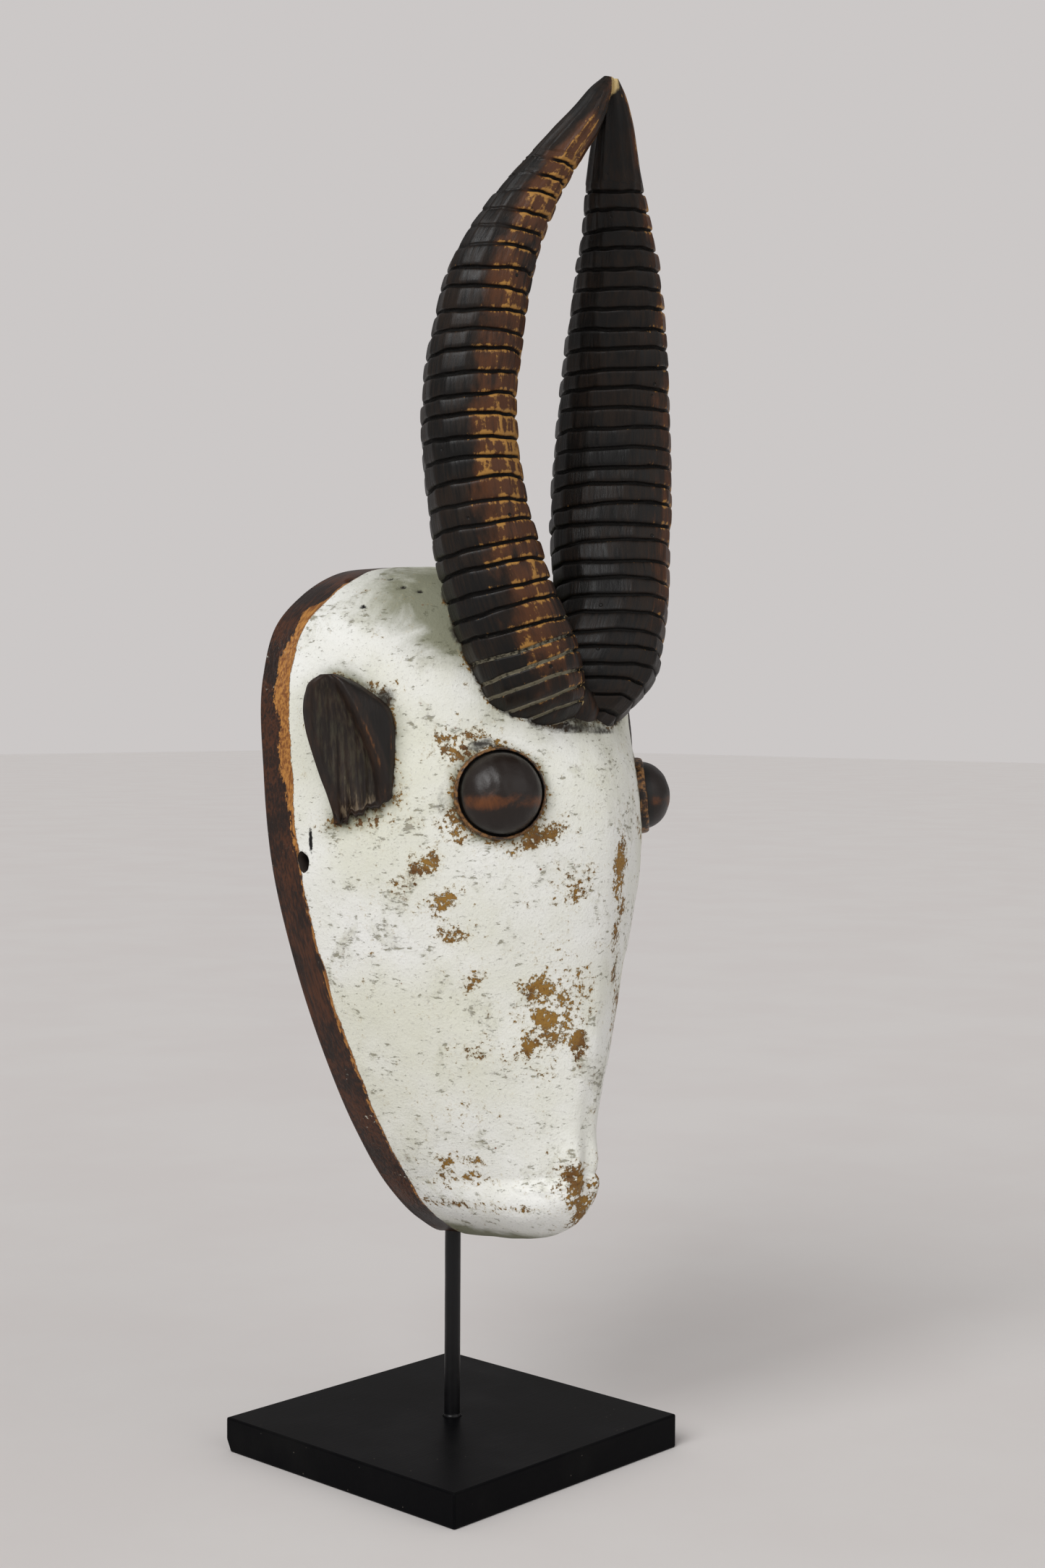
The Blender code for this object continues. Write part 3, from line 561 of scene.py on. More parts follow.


# Kaolin on carved wood: chalky, granular and matt, ivory white with a greenish-grey painted shade
# round the horns, eyes and ears and under the chin, flaked to ochre wood in ragged islands. The
# bare rim is red-brown, fibrous and shiny.
kaolin, tree, place = finish_named("kaolin wash on carved wood")
edge_in = marked(tree, "edge")
rubbed_in = marked(tree, "rubbed")
soot_and_hole_shade_in = marked(tree, "smudged")
painted_shade_in = marked(tree, "grime")
inside_in = marked(tree, "inside")
tan_in = marked(tree, "tan")
rim_in = marked(tree, "rim_place", "Vector")
flake = noise(tree, place, FLAKE, 7.0, 0.68)
flake_fine = noise(tree, place, FLAKE_FINE, 5.0, 0.7)
clouds = noise(tree, place, KAOLIN_CLOUD, 5.0, 0.6)
smears = noise(tree, place, SMEAR, 6.0, 0.65, 0.6)
grit = noise(tree, place, KAOLIN_GRAIN, 3.0, 0.6)
# how far the coat has gone: the rubbed places, broken up by flaking of two sizes
gone = total(tree, -1.80, (rubbed_in, 0.52), (flake, 1.60), (flake_fine, 2.00))
bare = ease(tree, gone, 0.46, 0.56)
thin = ease(tree, gone, 0.24, 0.56)
# the white itself
white = ease(tree, clouds, 0.38, 0.62)
white = blend(tree, white, KAOLIN, KAOLIN_BRIGHT)
dull = ease(tree, smears, 0.50, 0.72, 0.8)
white = blend(tree, dull, white, KAOLIN_DULL)
cast_clouds = noise(tree, place, YELLOW_CLOUD, 4.0, 0.55)
cast = ease(tree, cast_clouds, 0.42, 0.64, 0.50)
white = blend(tree, cast, white, KAOLIN_YELLOW)
gritty = ease(tree, grit, 0.58, 0.72, 0.45)
white = blend(tree, gritty, white, GREY_SMEAR)
# short level dashes where the brush skipped over the grain, in swarms
dash_place = stretch(tree, place, (0.42, 0.42, 1.0))
dashes = noise(tree, dash_place, KAOLIN_DASH, 5.0, 0.65)
swarm = total(tree, dashes, (smears, 0.55))
swarm = ease(tree, swarm, 0.875, 0.975, 0.85)
white = blend(tree, swarm, white, KAOLIN_PIT)
smear_mix = times(tree, smears, flake_fine)
grey = ease(tree, smear_mix, 0.30, 0.42, 0.6)
white = blend(tree, grey, white, GREY_SMEAR)
# painted shade: greenish grey on the white next to the horns, knob, eyes and ears and under the
# chin
green = times(tree, painted_shade_in, smears)
green = ease(tree, green, 0.05, 0.27, 0.92)
white = blend(tree, green, white, KAOLIN_PAINTED_SHADE)
thin_part = times(tree, thin, 0.55)
white = blend(tree, thin_part, white, KAOLIN_THIN)
rust_spot, rust_cell = dots(tree, place, RUST_CELL, 0.20, 0.10)
rust_pick = node(tree, "ShaderNodeSeparateColor", {0: rust_cell})[0]
rust_near = times(tree, rust_pick, smears)
rust_rare = level(tree, rust_near, 0.52, 0.56, 0.0, 1.0)
rust_spot = times(tree, rust_spot, rust_rare)
white = blend(tree, rust_spot, white, RUST_SPECK)
# the wood where the coat has gone
ochre = ease(tree, smears, 0.40, 0.66)
ochre = blend(tree, ochre, OCHRE_WOOD, OCHRE_DARK)
deep = ease(tree, grit, 0.52, 0.70, 0.7)
ochre = blend(tree, deep, ochre, OCHRE_DARK)
face_colour = blend(tree, bare, white, ochre)
# soot and grease smudges, and painted shade round the beetle holes
sooty = total(tree, -0.4, (flake_fine, 0.8), soot_and_hole_shade_in)
sooty = ease(tree, sooty, 0.35, 0.95, 0.95)
face_colour = blend(tree, sooty, face_colour, SOOT_AND_HOLE_SHADE)
# painted shade: the beetle holes and the knife slip are painted dead black, with crumbled edges
slip_place = node(tree, "ShaderNodeVectorMath", {
    0: place, 1: tuple(stood(np.array(SLIP_MIDDLE)))}, operation="SUBTRACT")[0]
slip_place = stretch(tree, slip_place, (1.0, 1.0, SLIP_WIDTH / SLIP_LENGTH))
slip_far = node(tree, "ShaderNodeVectorMath", {0: slip_place}, operation="LENGTH")["Value"]
pit_far = total(tree, slip_far, CROWN_HOLE_RADIUS - SLIP_WIDTH / 2)
for mouth in hole_mouths:
    mouth_far = node(tree, "ShaderNodeVectorMath", {0: place, 1: tuple(stood(mouth))},
                     operation="DISTANCE")["Value"]
    pit_far = node(tree, "ShaderNodeMath", {0: pit_far, 1: mouth_far}, operation="MINIMUM")[0]
pit_far = total(tree, pit_far, (grit, 0.0016))
pit = level(tree, pit_far, CROWN_HOLE_RADIUS + 0.0010, CROWN_HOLE_RADIUS + 0.0006, 0.0, 1.0)
face_colour = blend(tree, pit, face_colour, PIT_SHADE)
# the bare rim: fibres run along it, tan wood shows just behind the white
fibre_place = stretch(tree, rim_in, (0.06, 1.0, 1.0))
fibre = noise(tree, fibre_place, RIM_FIBRE, 5.0, 0.6)
rim_clouds = noise(tree, rim_in, RIM_CLOUD, 6.0, 0.65)
rim_mix = times(tree, fibre, rim_clouds)
rim_mix = ease(tree, rim_mix, 0.17, 0.36)
rim_colour = blend(tree, rim_mix, RIM_DARK, RIM_RED)
strip_reach = noise(tree, rim_in, TAN_CLOUD, 5.0, 0.6)
strip = total(tree, -4.4, (strip_reach, 9.0), edge_in, (tan_in, 7.0))
strip_ragged = total(tree, strip, (fibre, 6.0), (rim_clouds, 7.0))
strip_mask = ease(tree, strip_ragged, 5.3, 6.3)
tan = ease(tree, fibre, 0.36, 0.64)
tan = blend(tree, tan, RIM_BROWN, RIM_TAN)
rim_colour = blend(tree, strip_mask, rim_colour, tan)
# painted shade: small worm holes in the bare rim are painted soot-dark
worm_hole_shade = dots(tree, place, WORM_CELL, 0.085, 0.055)[0]
rim_colour = blend(tree, worm_hole_shade, rim_colour, SOOT_AND_HOLE_SHADE)
splash = times(tree, flake_fine, smears)
splash = ease(tree, splash, 0.37, 0.42, 0.8)
rim_colour = blend(tree, splash, rim_colour, KAOLIN_DULL)
# the hollow: raw wood gone brown, streaked up and down
hollow_place = stretch(tree, place, (1.0, 1.0, 0.08))
hollow_fibre = noise(tree, hollow_place, HOLLOW_FIBRE, 5.0, 0.6)
hollow_mix = times(tree, hollow_fibre, smears)
hollow_mix = ease(tree, hollow_mix, 0.16, 0.36)
hollow_colour = blend(tree, hollow_mix, HOLLOW_DARK, HOLLOW_WOOD)
bare_colour = blend(tree, inside_in, rim_colour, hollow_colour)
# where the white stops
coat = total(tree, -1.2, (flake_fine, 2.4), edge_in)
coat = ease(tree, coat, -0.25, 0.25)
colour = blend(tree, coat, bare_colour, face_colour)
bare_gloss = level(tree, inside_in, 0.0, 1.0, 0.40, 0.78)
face_gloss = level(tree, bare, 0.0, 1.0, 0.86, 0.62)
gloss = node(tree, "ShaderNodeMix", {0: coat, 2: bare_gloss, 3: face_gloss})[0]
# relief: grains of chalk, the edge of each flake, and fibres on the bare wood
chalk = total(tree, 1.0, (bare, -1.0), (grit, 0.55), (flake_fine, 0.6), (swarm, -0.5))
fibres = times(tree, total(tree, fibre, hollow_fibre), 0.6)
relief = node(tree, "ShaderNodeMix", {0: coat, 2: fibres, 3: chalk})[0]
dress(tree, colour, gloss, relief, strength=0.9, depth=0.0006, shine=0.35)
head.data.materials.append(kaolin)
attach(head, "root")
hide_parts("mask")

# ---------------------------------------------------------------------------------------------
# Cord holes: one burnt through each side of the rim with a hot iron, for the cord that tied
# the mask to its costume. They are cut through the head's real wall.
# ---------------------------------------------------------------------------------------------
CORD_HOLE_WIDTH = 0.0062
CORD_HOLE_LENGTH = 0.0098
CORD_HOLE_HEIGHT = 0.1905
CORD_HOLE_FORWARD = 0.0200
IRON_REACH = (0.075, 0.125)
IRON_SIDES = 40
CHAR = "#120c08"
CRACKLE = 1 / 700

# Charred wood: matt black-brown with a fine crackle
char, tree, place = finish_named("charred wood of the cord holes")
crackle = noise(tree, place, CRACKLE, 4.0)
colour = blend(tree, crackle, CHAR, HOLLOW_DARK)
gloss = level(tree, crackle, 0.0, 1.0, 0.7, 0.95)
dress(tree, colour, gloss, crackle, strength=0.6, depth=0.0003)

turn = np.linspace(0, 2 * math.pi, IRON_SIDES, endpoint=False)
burnt = 1 + 0.05 * np.sin(3 * turn + 1.0) + 0.03 * np.sin(5 * turn)
irons = []
for side_sign in (-1, 1):
    rings = [np.column_stack([
        np.full(IRON_SIDES, side_sign * reach),
        CORD_HOLE_HEIGHT + burnt * np.sin(turn) * CORD_HOLE_LENGTH / 2,
        CORD_HOLE_FORWARD + burnt * np.cos(turn) * CORD_HOLE_WIDTH / 2]) for reach in IRON_REACH]
    iron = rings_to_piece("iron_right" if side_sign < 0 else "iron_left", stood(rings))
    iron.data.materials.append(char)
    irons.append(iron)
    bore = head.modifiers.new("cord hole", "BOOLEAN")
    bore.operation = "DIFFERENCE"
    bore.solver = "MANIFOLD"
    bore.object = iron
    bore.material_mode = "TRANSFER"
bpy.context.view_layer.update()
depsgraph = bpy.context.evaluated_depsgraph_get()
bored = bpy.data.meshes.new_from_object(head.evaluated_get(depsgraph),
                                        preserve_all_data_layers=True, depsgraph=depsgraph)
head.modifiers.clear()
head.data = bored
for iron in irons:
    bpy.data.objects.remove(iron)

# ---------------------------------------------------------------------------------------------
# Eyes: two domes carved in one with the head, each in a thin raised ring, and blackened with
# plant juice. Handling has brought out red-brown on the domes and tan on the rings.
# ---------------------------------------------------------------------------------------------
EYES = {
    "right": (-1, 0.0195, 0.0500, 0.2190, math.radians(36.0)),
    "left": (1, 0.0170, 0.0600, 0.2155, math.radians(43.0))}
EYE_TILT = math.radians(4.0)
EYE_RISE = 0.0145
EYE_RING_WIDTH = 0.0022
EYE_RING_RISE = 0.0022
EYE_ROOT = 0.010
# the ring's cross-section: share of its width going out, and its height in metres
EYE_RING_LINE = ((0.0, 0.0002), (0.10, 0.0004), (0.28, EYE_RING_RISE * 0.80),
                 (0.48, EYE_RING_RISE), (0.72, EYE_RING_RISE * 0.82),
                 (0.92, EYE_RING_RISE * 0.30), (1.0, -0.0010), (1.0, -EYE_ROOT))
EYE_SEGMENTS = 144
EYE_DOME_ROWS = 44
EYE_DARK = "#1c130e"
EYE_RED = "#6a3b17"
EYE_GROOVE_SHADE = "#0d0c09"
EYE_TAN = "#94693a"
EYE_RING_DARK = "#4a3018"
EYE_CLOUD = 1 / 95
EYE_GRAIN = 1 / 420


def face_depth(u, v):
    """Depth of the face at a place on its flank, where its middle line runs level with it."""
    share = v / HEAD_HEIGHT
    half = np.array(RIM_POINTS) * (HEAD_WIDTH / 2, HEAD_HEIGHT)
    rim_u = smooth_read(half[2:10, ::-1], v)[0, 0]
    depth = smooth_read(FACE_LINE, share)[0, 0] * HEAD_DEPTH
    fullness = smooth_read(FULLNESS, share)[0, 0]
    rise = (1 - (u / rim_u) ** fullness) ** (1 / fullness)
    return RIM_ROUNDING + (depth - RIM_ROUNDING) * rise


# Blackened wood rubbed by hands: dark with red-brown clouds, a soft wax-like shine on the dome, and
# painted shade, near black, in the groove at the dome's foot
eye_wood, tree, place = finish_named("blackened wood of the eyes")
ring_in = marked(tree, "ring")
groove_shade_in = marked(tree, "groove")
band_in = marked(tree, "band")
clouds = noise(tree, place, EYE_CLOUD, 6.0, 0.62, 0.4)
fine = noise(tree, place, EYE_GRAIN, 5.0, 0.65)
red = total(tree, -0.45, (clouds, 1.3), band_in)
red = ease(tree, red, 0.42, 0.90, 0.9)
colour = blend(tree, red, EYE_DARK, EYE_RED)
tan = total(tree, -1.60, (fine, 1.4), (clouds, 1.8), ring_in)
tan = ease(tree, tan, 0.55, 1.0)
ring_tone = ease(tree, fine, 0.40, 0.62)
ring_tone = blend(tree, ring_tone, EYE_RING_DARK, EYE_TAN)
colour = blend(tree, tan, colour, ring_tone)
# painted shade: the groove between dome and ring is painted near black
colour = blend(tree, groove_shade_in, colour, EYE_GROOVE_SHADE)
gloss = level(tree, clouds, 0.3, 0.7, 0.30, 0.46)
dress(tree, colour, gloss, fine, strength=0.5, depth=0.0003, shine=0.4)

eyes = []
for name, (side_sign, radius, spread, height, facing_turn) in EYES.items():
    profile = [(radius * math.sin(a), EYE_RISE * math.cos(a))
               for a in np.linspace(0, math.pi / 2 * 0.97, EYE_DOME_ROWS)]
    profile += [(radius + EYE_RING_WIDTH * out, rise) for out, rise in EYE_RING_LINE]
    profile = np.array(profile + [(0.0, -EYE_ROOT)])
    turn = np.linspace(0, 2 * math.pi, EYE_SEGMENTS, endpoint=False)
    uneven = 1 - 0.012 * (0.5 + 0.5 * np.sin(2 * turn + 0.7)) - 0.008 * (1 + np.sin(5 * turn)) / 2
    reach = profile[:, :1] * uneven
    local = np.stack([reach * np.cos(turn), reach * np.sin(turn),
                      profile[:, 1:] * np.ones(EYE_SEGMENTS)], axis=-1)
    dents = ripple(local.reshape(-1, 3), 0.008, 31 + side_sign).reshape(local.shape[:2])
    local[..., 2] -= 0.00035 * (0.5 + 0.5 * dents) * (profile[:, 1:] > 0)
    out = Vector((side_sign * math.sin(facing_turn), -math.cos(facing_turn), math.sin(EYE_TILT)))
    facing = np.array(out.to_track_quat("Z", "X").to_matrix())
    local_turned = local @ facing.T
    on_mask = np.stack([local_turned[..., 0] + side_sign * spread,
                        local_turned[..., 2] + height,
                        face_depth(spread, height) - local_turned[..., 1]], axis=-1)
    on_ring = smooth_step((profile[:, 0] - radius - 0.0003) / 0.0006)
    ring_mark = on_ring[:, None] * np.ones_like(turn)
    # the groove where the dome meets the ring, marked for painted shade
    groove_shade_mark = np.exp(-((profile[:, 0] - radius * 0.992) / 0.0011) ** 2)[:, None]
    groove_shade_mark = groove_shade_mark * (profile[:, 1:] < EYE_RISE * 0.35) * np.ones_like(turn)
    upward = on_mask[..., 1] - height
    band_mark = np.exp(-((upward + 0.20 * radius) / (0.24 * radius)) ** 2)
    eye = rings_to_piece(f"eye_{name}", stood(on_mask), {
        "ring": ring_mark * (1.0 if name == "right" else 0.8), "groove": groove_shade_mark,
        "band": 0.45 * band_mark * (profile[:, 1:] > 0)})
    eye.data.materials.append(eye_wood)
    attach(eye, "root")
    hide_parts("mask")
    eyes.append(eye)

# ---------------------------------------------------------------------------------------------
# Ears: scooped leaves left standing when the sides of the head were cut down, rooted along
# their front edge and free behind. Blackened like the eyes, and rubbed golden on the ridge.
# ---------------------------------------------------------------------------------------------
EAR_LENGTH = 0.0725
EAR_WIDTH = 0.0400
EAR_BLADE = 0.0060
EAR_ROOT = 0.0135
EAR_HEIGHT = 0.2040
EAR_TURN = math.radians(46.0)
EARS = {"right": (-1, 0.0840, 0.0625), "left": (1, 0.0890, 0.0550)}
EAR_WORN = 0.055
EAR_STATIONS = 120
EAR_AROUND = 112
EAR_DARK = "#1d1510"
EAR_BROWN = "#2f2016"
EAR_GREEN = "#3c392b"
EAR_GOLD = "#7e4f24"
EAR_BLACK = "#0b0907"
EAR_DUST_AND_FOLD_HIGHLIGHT = "#7a6a55"
EAR_CLOUD = 1 / 75
EAR_STREAK = 1 / 620

# Sections of one ear from its lower end to its tip: height as a share of the ear's length, then
# foot, ridge, ridge rise, scoop, scoop rise, back edge and its rise as shares of its width
EAR_SECTIONS = [
    (0.00, 0.60, 0.63, -0.10, 0.66, -0.11, 0.69, -0.10),
    (0.07, 0.34, 0.38, 0.02, 0.52, -0.05, 0.70, 0.02),
    (0.13, 0.06, 0.12, 0.08, 0.40, -0.03, 0.72, 0.06),
    (0.21, 0.01, 0.09, 0.11, 0.40, -0.03, 0.76, 0.07),
    (0.33, 0.00, 0.11, 0.13, 0.42, -0.04, 0.83, 0.07),
    (0.47, 0.00, 0.17, 0.14, 0.48, -0.05, 0.90, 0.07),
    (0.64, 0.00, 0.28, 0.14, 0.56, -0.04, 0.97, 0.07),
    (0.77, 0.06, 0.38, 0.13, 0.62, -0.02, 0.99, 0.06),
    (0.88, 0.28, 0.48, 0.11, 0.67, 0.00, 0.96, 0.05),
    (0.96, 0.48, 0.57, 0.08, 0.70, 0.03, 0.89, 0.04),
    (1.00, 0.62, 0.66, 0.04, 0.71, 0.02, 0.78, 0.02)]


def closed_curve(corners, count):
    """A smooth closed curve through the corners, as `count` points."""
    chain = np.vstack([corners[-2:], corners, corners[:2]])
    steps = np.maximum(np.linalg.norm(np.diff(chain, axis=0), axis=1), 1e-5)
    keys = np.concatenate([[0.0], np.cumsum(steps)])
    at = np.linspace(keys[2], keys[-2], count, endpoint=False)
    return smooth_read(np.column_stack([keys, chain]), at)


hollow_wall = [[Vector(p) for p in ring] for ring in hollow]
wall_points = [p for ring in hollow_wall for p in ring]
wall_faces = [(r * HEAD_COLUMNS + k, r * HEAD_COLUMNS + (k + 1) % HEAD_COLUMNS,
               (r + 1) * HEAD_COLUMNS + (k + 1) % HEAD_COLUMNS, (r + 1) * HEAD_COLUMNS + k)
              for r in range(len(hollow) - 2) for k in range(HEAD_COLUMNS)]
wall_tree = BVHTree.FromPolygons(wall_points, wall_faces)
ROOT_COVER = 0.003


def kept_in_wood(points):
    """Pulls points that would stick out into the hollow back inside the head's wall."""
    shape = points.shape
    flat_points = points.reshape(-1, 3).copy()
    risky = np.flatnonzero((flat_points[:, 1] < HEAD_HEIGHT) & (flat_points[:, 2] < 0.10))
    for k in risky:
        p = Vector(flat_points[k])
        spot, across, _, _ = wall_tree.find_nearest(p)
        axis = Vector((0, min(max(spot.y, 0.1), 0.26), 0))
        if across.dot(spot - axis) < 0:
            across = -across
        if across.dot(p - spot) < ROOT_COVER:
            flat_points[k] = spot + across * ROOT_COVER
    return flat_points.reshape(shape)


# Blackened wood, streaked along the grain: matt in the scoop, golden where the ridge is rubbed
ear_wood, tree, place = finish_named("blackened wood of the ears")
leaf_in = marked(tree, "leaf", "Vector")
ridge_in = marked(tree, "ridge")
scoop_in = marked(tree, "scoop")
foot_in = marked(tree, "foot")
streak_place = stretch(tree, leaf_in, (1.0, 0.13, 1.0))
streaks = noise(tree, streak_place, EAR_STREAK, 5.0, 0.62)
clouds = noise(tree, place, EAR_CLOUD, 6.0, 0.6)
brown = times(tree, streaks, clouds)
brown = ease(tree, brown, 0.17, 0.36)
colour = blend(tree, brown, EAR_DARK, EAR_BROWN)
green = times(tree, streaks, scoop_in)
green = ease(tree, green, 0.42, 0.68, 0.7)
colour = blend(tree, green, colour, EAR_GREEN)
gold = total(tree, -0.5, (streaks, 1.0), ridge_in, (clouds, 1.6))
gold = ease(tree, gold, 1.30, 1.75, 0.9)
colour = blend(tree, gold, colour, EAR_GOLD)
colour = blend(tree, foot_in, colour, EAR_BLACK)
# pale dust streaks low in the scoop, painted there also as the highlights on the folds of the lower
# end
up_leaf = node(tree, "ShaderNodeSeparateXYZ", {0: leaf_in})["Y"]
dust_and_fold_highlight = level(tree, up_leaf, 0.026, 0.004, 0.0, 0.34)
dust_and_fold_highlight = total(tree, dust_and_fold_highlight, (streaks, scoop_in))
dust_and_fold_highlight = ease(tree, dust_and_fold_highlight, 0.70, 0.90, 0.7)
colour = blend(tree, dust_and_fold_highlight, colour, EAR_DUST_AND_FOLD_HIGHLIGHT)
gloss = level(tree, clouds, 0.3, 0.7, 0.42, 0.62)
dress(tree, colour, gloss, streaks, strength=0.6, depth=0.0004, shine=0.3)

ears = []
for name, (side_sign, spread, forward) in EARS.items():
    across = np.array((math.cos(EAR_TURN), -math.sin(EAR_TURN)))
    out = np.array((math.sin(EAR_TURN), math.cos(EAR_TURN)))
    blade = EAR_BLADE / EAR_WIDTH
    root = EAR_ROOT / EAR_WIDTH
    rings, leaf = [], []
    heights = 1 - np.cos(np.linspace(0, math.pi / 2, EAR_STATIONS)) ** 1.15
    heights = 0.5 * heights + 0.5 * np.linspace(0, 1, EAR_STATIONS)
    for height, values in zip(heights, smooth_read(EAR_SECTIONS, heights)):
        foot, ridge, ridge_rise, scoop, scoop_rise, back, back_rise = values
        bevel = min(0.05, 0.4 * (scoop - ridge))
        lip = min(0.04, 0.4 * (back - scoop))
        behind = 0.55 * back + 0.45 * foot
        section = np.array([
            (foot, -root), (foot, ridge_rise - 0.09),
            (max(ridge - bevel, foot), ridge_rise - 0.015),
            (ridge, ridge_rise), (ridge + bevel, ridge_rise - 0.03),
            (0.55 * scoop + 0.45 * ridge, 0.75 * scoop_rise + 0.25 * ridge_rise),
            (scoop, scoop_rise), (0.5 * scoop + 0.5 * back, 0.7 * scoop_rise + 0.3 * back_rise),
            (back - lip, back_rise - 0.02), (back, back_rise - 0.02),
            (back + 0.005, back_rise - 0.06), (back - lip, back_rise - blade),
            (behind, min(scoop_rise, back_rise) - blade), (0.5 * behind + 0.5 * foot, -root)])
        curve = closed_curve(section, EAR_AROUND)
        # folds run up from the lower end and a few knife grooves follow the scoop
        in_scoop = smooth_step((curve[:, 0] - ridge - bevel) / 0.08)
        in_scoop = in_scoop * smooth_step((back - lip - curve[:, 0]) / 0.08)
        in_scoop = in_scoop * (curve[:, 1] > min(scoop_rise, back_rise) - 0.06)
        fold = 0.018 * np.cos(curve[:, 0] * 46 + 3 * height) * math.exp(-height / 0.30)
        fold = fold + 0.007 * np.cos(curve[:, 0] * 70 - 2 * height)
        curve[:, 1] += (fold - 0.018) * in_scoop
        ragged = 0.030 * np.sin(curve[:, 0] * 31 + side_sign) + 0.018 * np.sin(curve[:, 0] * 67)
        ragged = ragged * math.exp(-height / 0.10) * smooth_step(height / 0.02)
        flat_place = np.array((spread, forward)) + (
            curve[:, :1] * across + curve[:, 1:] * out) * EAR_WIDTH
        rings.append(np.column_stack([
            side_sign * flat_place[:, 0],
            EAR_HEIGHT + (EAR_WORN + (1 - EAR_WORN) * height + ragged) * EAR_LENGTH,
            flat_place[:, 1]]))
        on_ridge = np.exp(-((curve[:, 0] - ridge) / 0.030) ** 2) * (curve[:, 1] > ridge_rise - 0.10)
        on_ridge = on_ridge * (0.30 + 0.35 * smooth_step((height - 0.05) / 0.3))
        on_ridge = np.maximum(on_ridge, 0.55 * np.exp(-height / 0.05) * np.ones_like(on_ridge))
        on_ridge = np.maximum(on_ridge, 0.6 * np.exp(-((curve[:, 0] - foot) / 0.02) ** 2)
                              * (curve[:, 1] < ridge_rise - 0.02) * (height < 0.75))
        outer_foot = smooth_step((ridge - bevel - 0.01 - curve[:, 0]) / 0.03)
        outer_foot = outer_foot * smooth_step((curve[:, 0] - foot - 0.004) / 0.02)
        leaf.append(np.column_stack([curve * EAR_WIDTH, np.full(EAR_AROUND, height * EAR_LENGTH),
                                     on_ridge, in_scoop, 0.7 * outer_foot]))
    leaf = np.array(leaf)
    ear = rings_to_piece(f"ear_{name}", stood(kept_in_wood(np.array(rings))), {
        "leaf": leaf[..., [0, 2, 1]], "ridge": leaf[..., 3], "scoop": leaf[..., 4],
        "foot": leaf[..., 5]})
    ear.data.materials.append(ear_wood)
    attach(ear, "root")
    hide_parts("mask")
    ears.append(ear)

# ---------------------------------------------------------------------------------------------
# Horns: a pair in one with the head, joined at brow and tip, shaped with long knife strokes
# and ringed with a saw. They are black with soot and oil; the side that hands reach is rubbed
# to red-brown and gold, and white dust sits in the lowest cuts.
# ---------------------------------------------------------------------------------------------
HORN_RISE = 0.300
HORN_SPREAD = 0.0508
HORN_WIDTH = 0.0608
HORN_THICKNESS = 0.0500
HORN_SQUARENESS = 2.7
HORN_DIAGONAL = math.radians(45.0)
BROW_HEIGHT = 0.2515
RING_PITCH = 0.0098
GROOVE_DEPTH = 0.0019
HORNS = {"right": (-1, 0.050), "left": (1, 0.056)}
HORN_AROUND = 104
HORN_FACETS = 13
TIP_ROWS = 46
HALF_BAND = 4.9  # from a cut to the middle of its band, in mm as GROOVE_STEPS are
FAR_FROM_CUT = 9.0
CUT_WANDER = ((0.00065, 1), (0.00040, 2), (0.00022, 5), (0.00013, 11))
FACET_DEPTH = 0.0007
BAND_CROWN = 0.00025
BAND_UNEVEN = 0.0006
RUBBED_SIDE = np.array((0.68, 0.0, 0.73))
FADED_RINGS = 6
FADED_SIDE = np.array((-0.78, 0.0, -0.62))
GROOVE_STEPS = (-4.4, -3.6, -2.9, -2.3, -1.8, -1.35, -1.0, -0.72, -0.5, -0.25, 0.0,
                0.25, 0.5, 0.72, 1.0, 1.35, 1.8, 2.3, 2.9, 3.6, 4.4)
HORN_BLACK = "#0a0908"
HORN_BROWN = "#1f150d"
HORN_RED = "#54311a"
HORN_GOLD = "#a87b3c"
HORN_RECESS_SHADE = "#0a0806"
HORN_DUST = "#a19b86"
HORN_PALE = "#c9b27e"
HORN_CLOUD = 1 / 38
HORN_STREAK = 1 / 210
HORN_FIBRE = 1 / 700
HORN_SPECK = 0.002
BEETLE_CELL = 1 / 68

# Middle line of one horn: rise from brow to tip, spread and depth forward of the back plane,
# then its two half widths, all as shares of the horn's or the head's sizes
HORN_LINE = [
    (-0.090, 0.060, 0.524, 0.500, 0.600), (-0.030, 0.160, 0.645, 0.680, 0.800),
    (0.030, 0.280, 0.753, 0.860, 1.000), (0.090, 0.500, 0.812, 0.920, 1.060),
    (0.180, 0.755, 0.805, 0.940, 1.040), (0.271, 0.870, 0.770, 0.985, 1.000),
    (0.366, 0.955, 0.755, 1.000, 0.940), (0.476, 1.010, 0.758, 0.960, 0.900),
    (0.595, 0.965, 0.803, 0.860, 0.870), (0.700, 0.872, 0.861, 0.745, 0.780),
    (0.789, 0.675, 0.943, 0.585, 0.580), (0.869, 0.400, 1.038, 0.430, 0.420),
    (0.938, 0.171, 1.133, 0.285, 0.300), (0.969, 0.090, 1.164, 0.190, 0.200),
    (0.989, 0.032, 1.188, 0.080, 0.090)]

# How the saw was held: the rise key, then how far the ring planes' normals lean out and forward
RING_LEAN = [
    (0.00, 0.270, -0.245), (0.27, 0.120, -0.110), (0.55, 0.000, 0.000), (0.85, -0.080, 0.115),
    (1.00, -0.120, 0.160)]

# Pale chips knocked off the right horn's inner ridge near its root: across, up, forward, radius
HORN_CHIPS = [
    (-0.0085, 0.2760, 0.1080, 0.0026), (-0.0090, 0.2690, 0.1090, 0.0030),
    (-0.0080, 0.2620, 0.1100, 0.0028)]

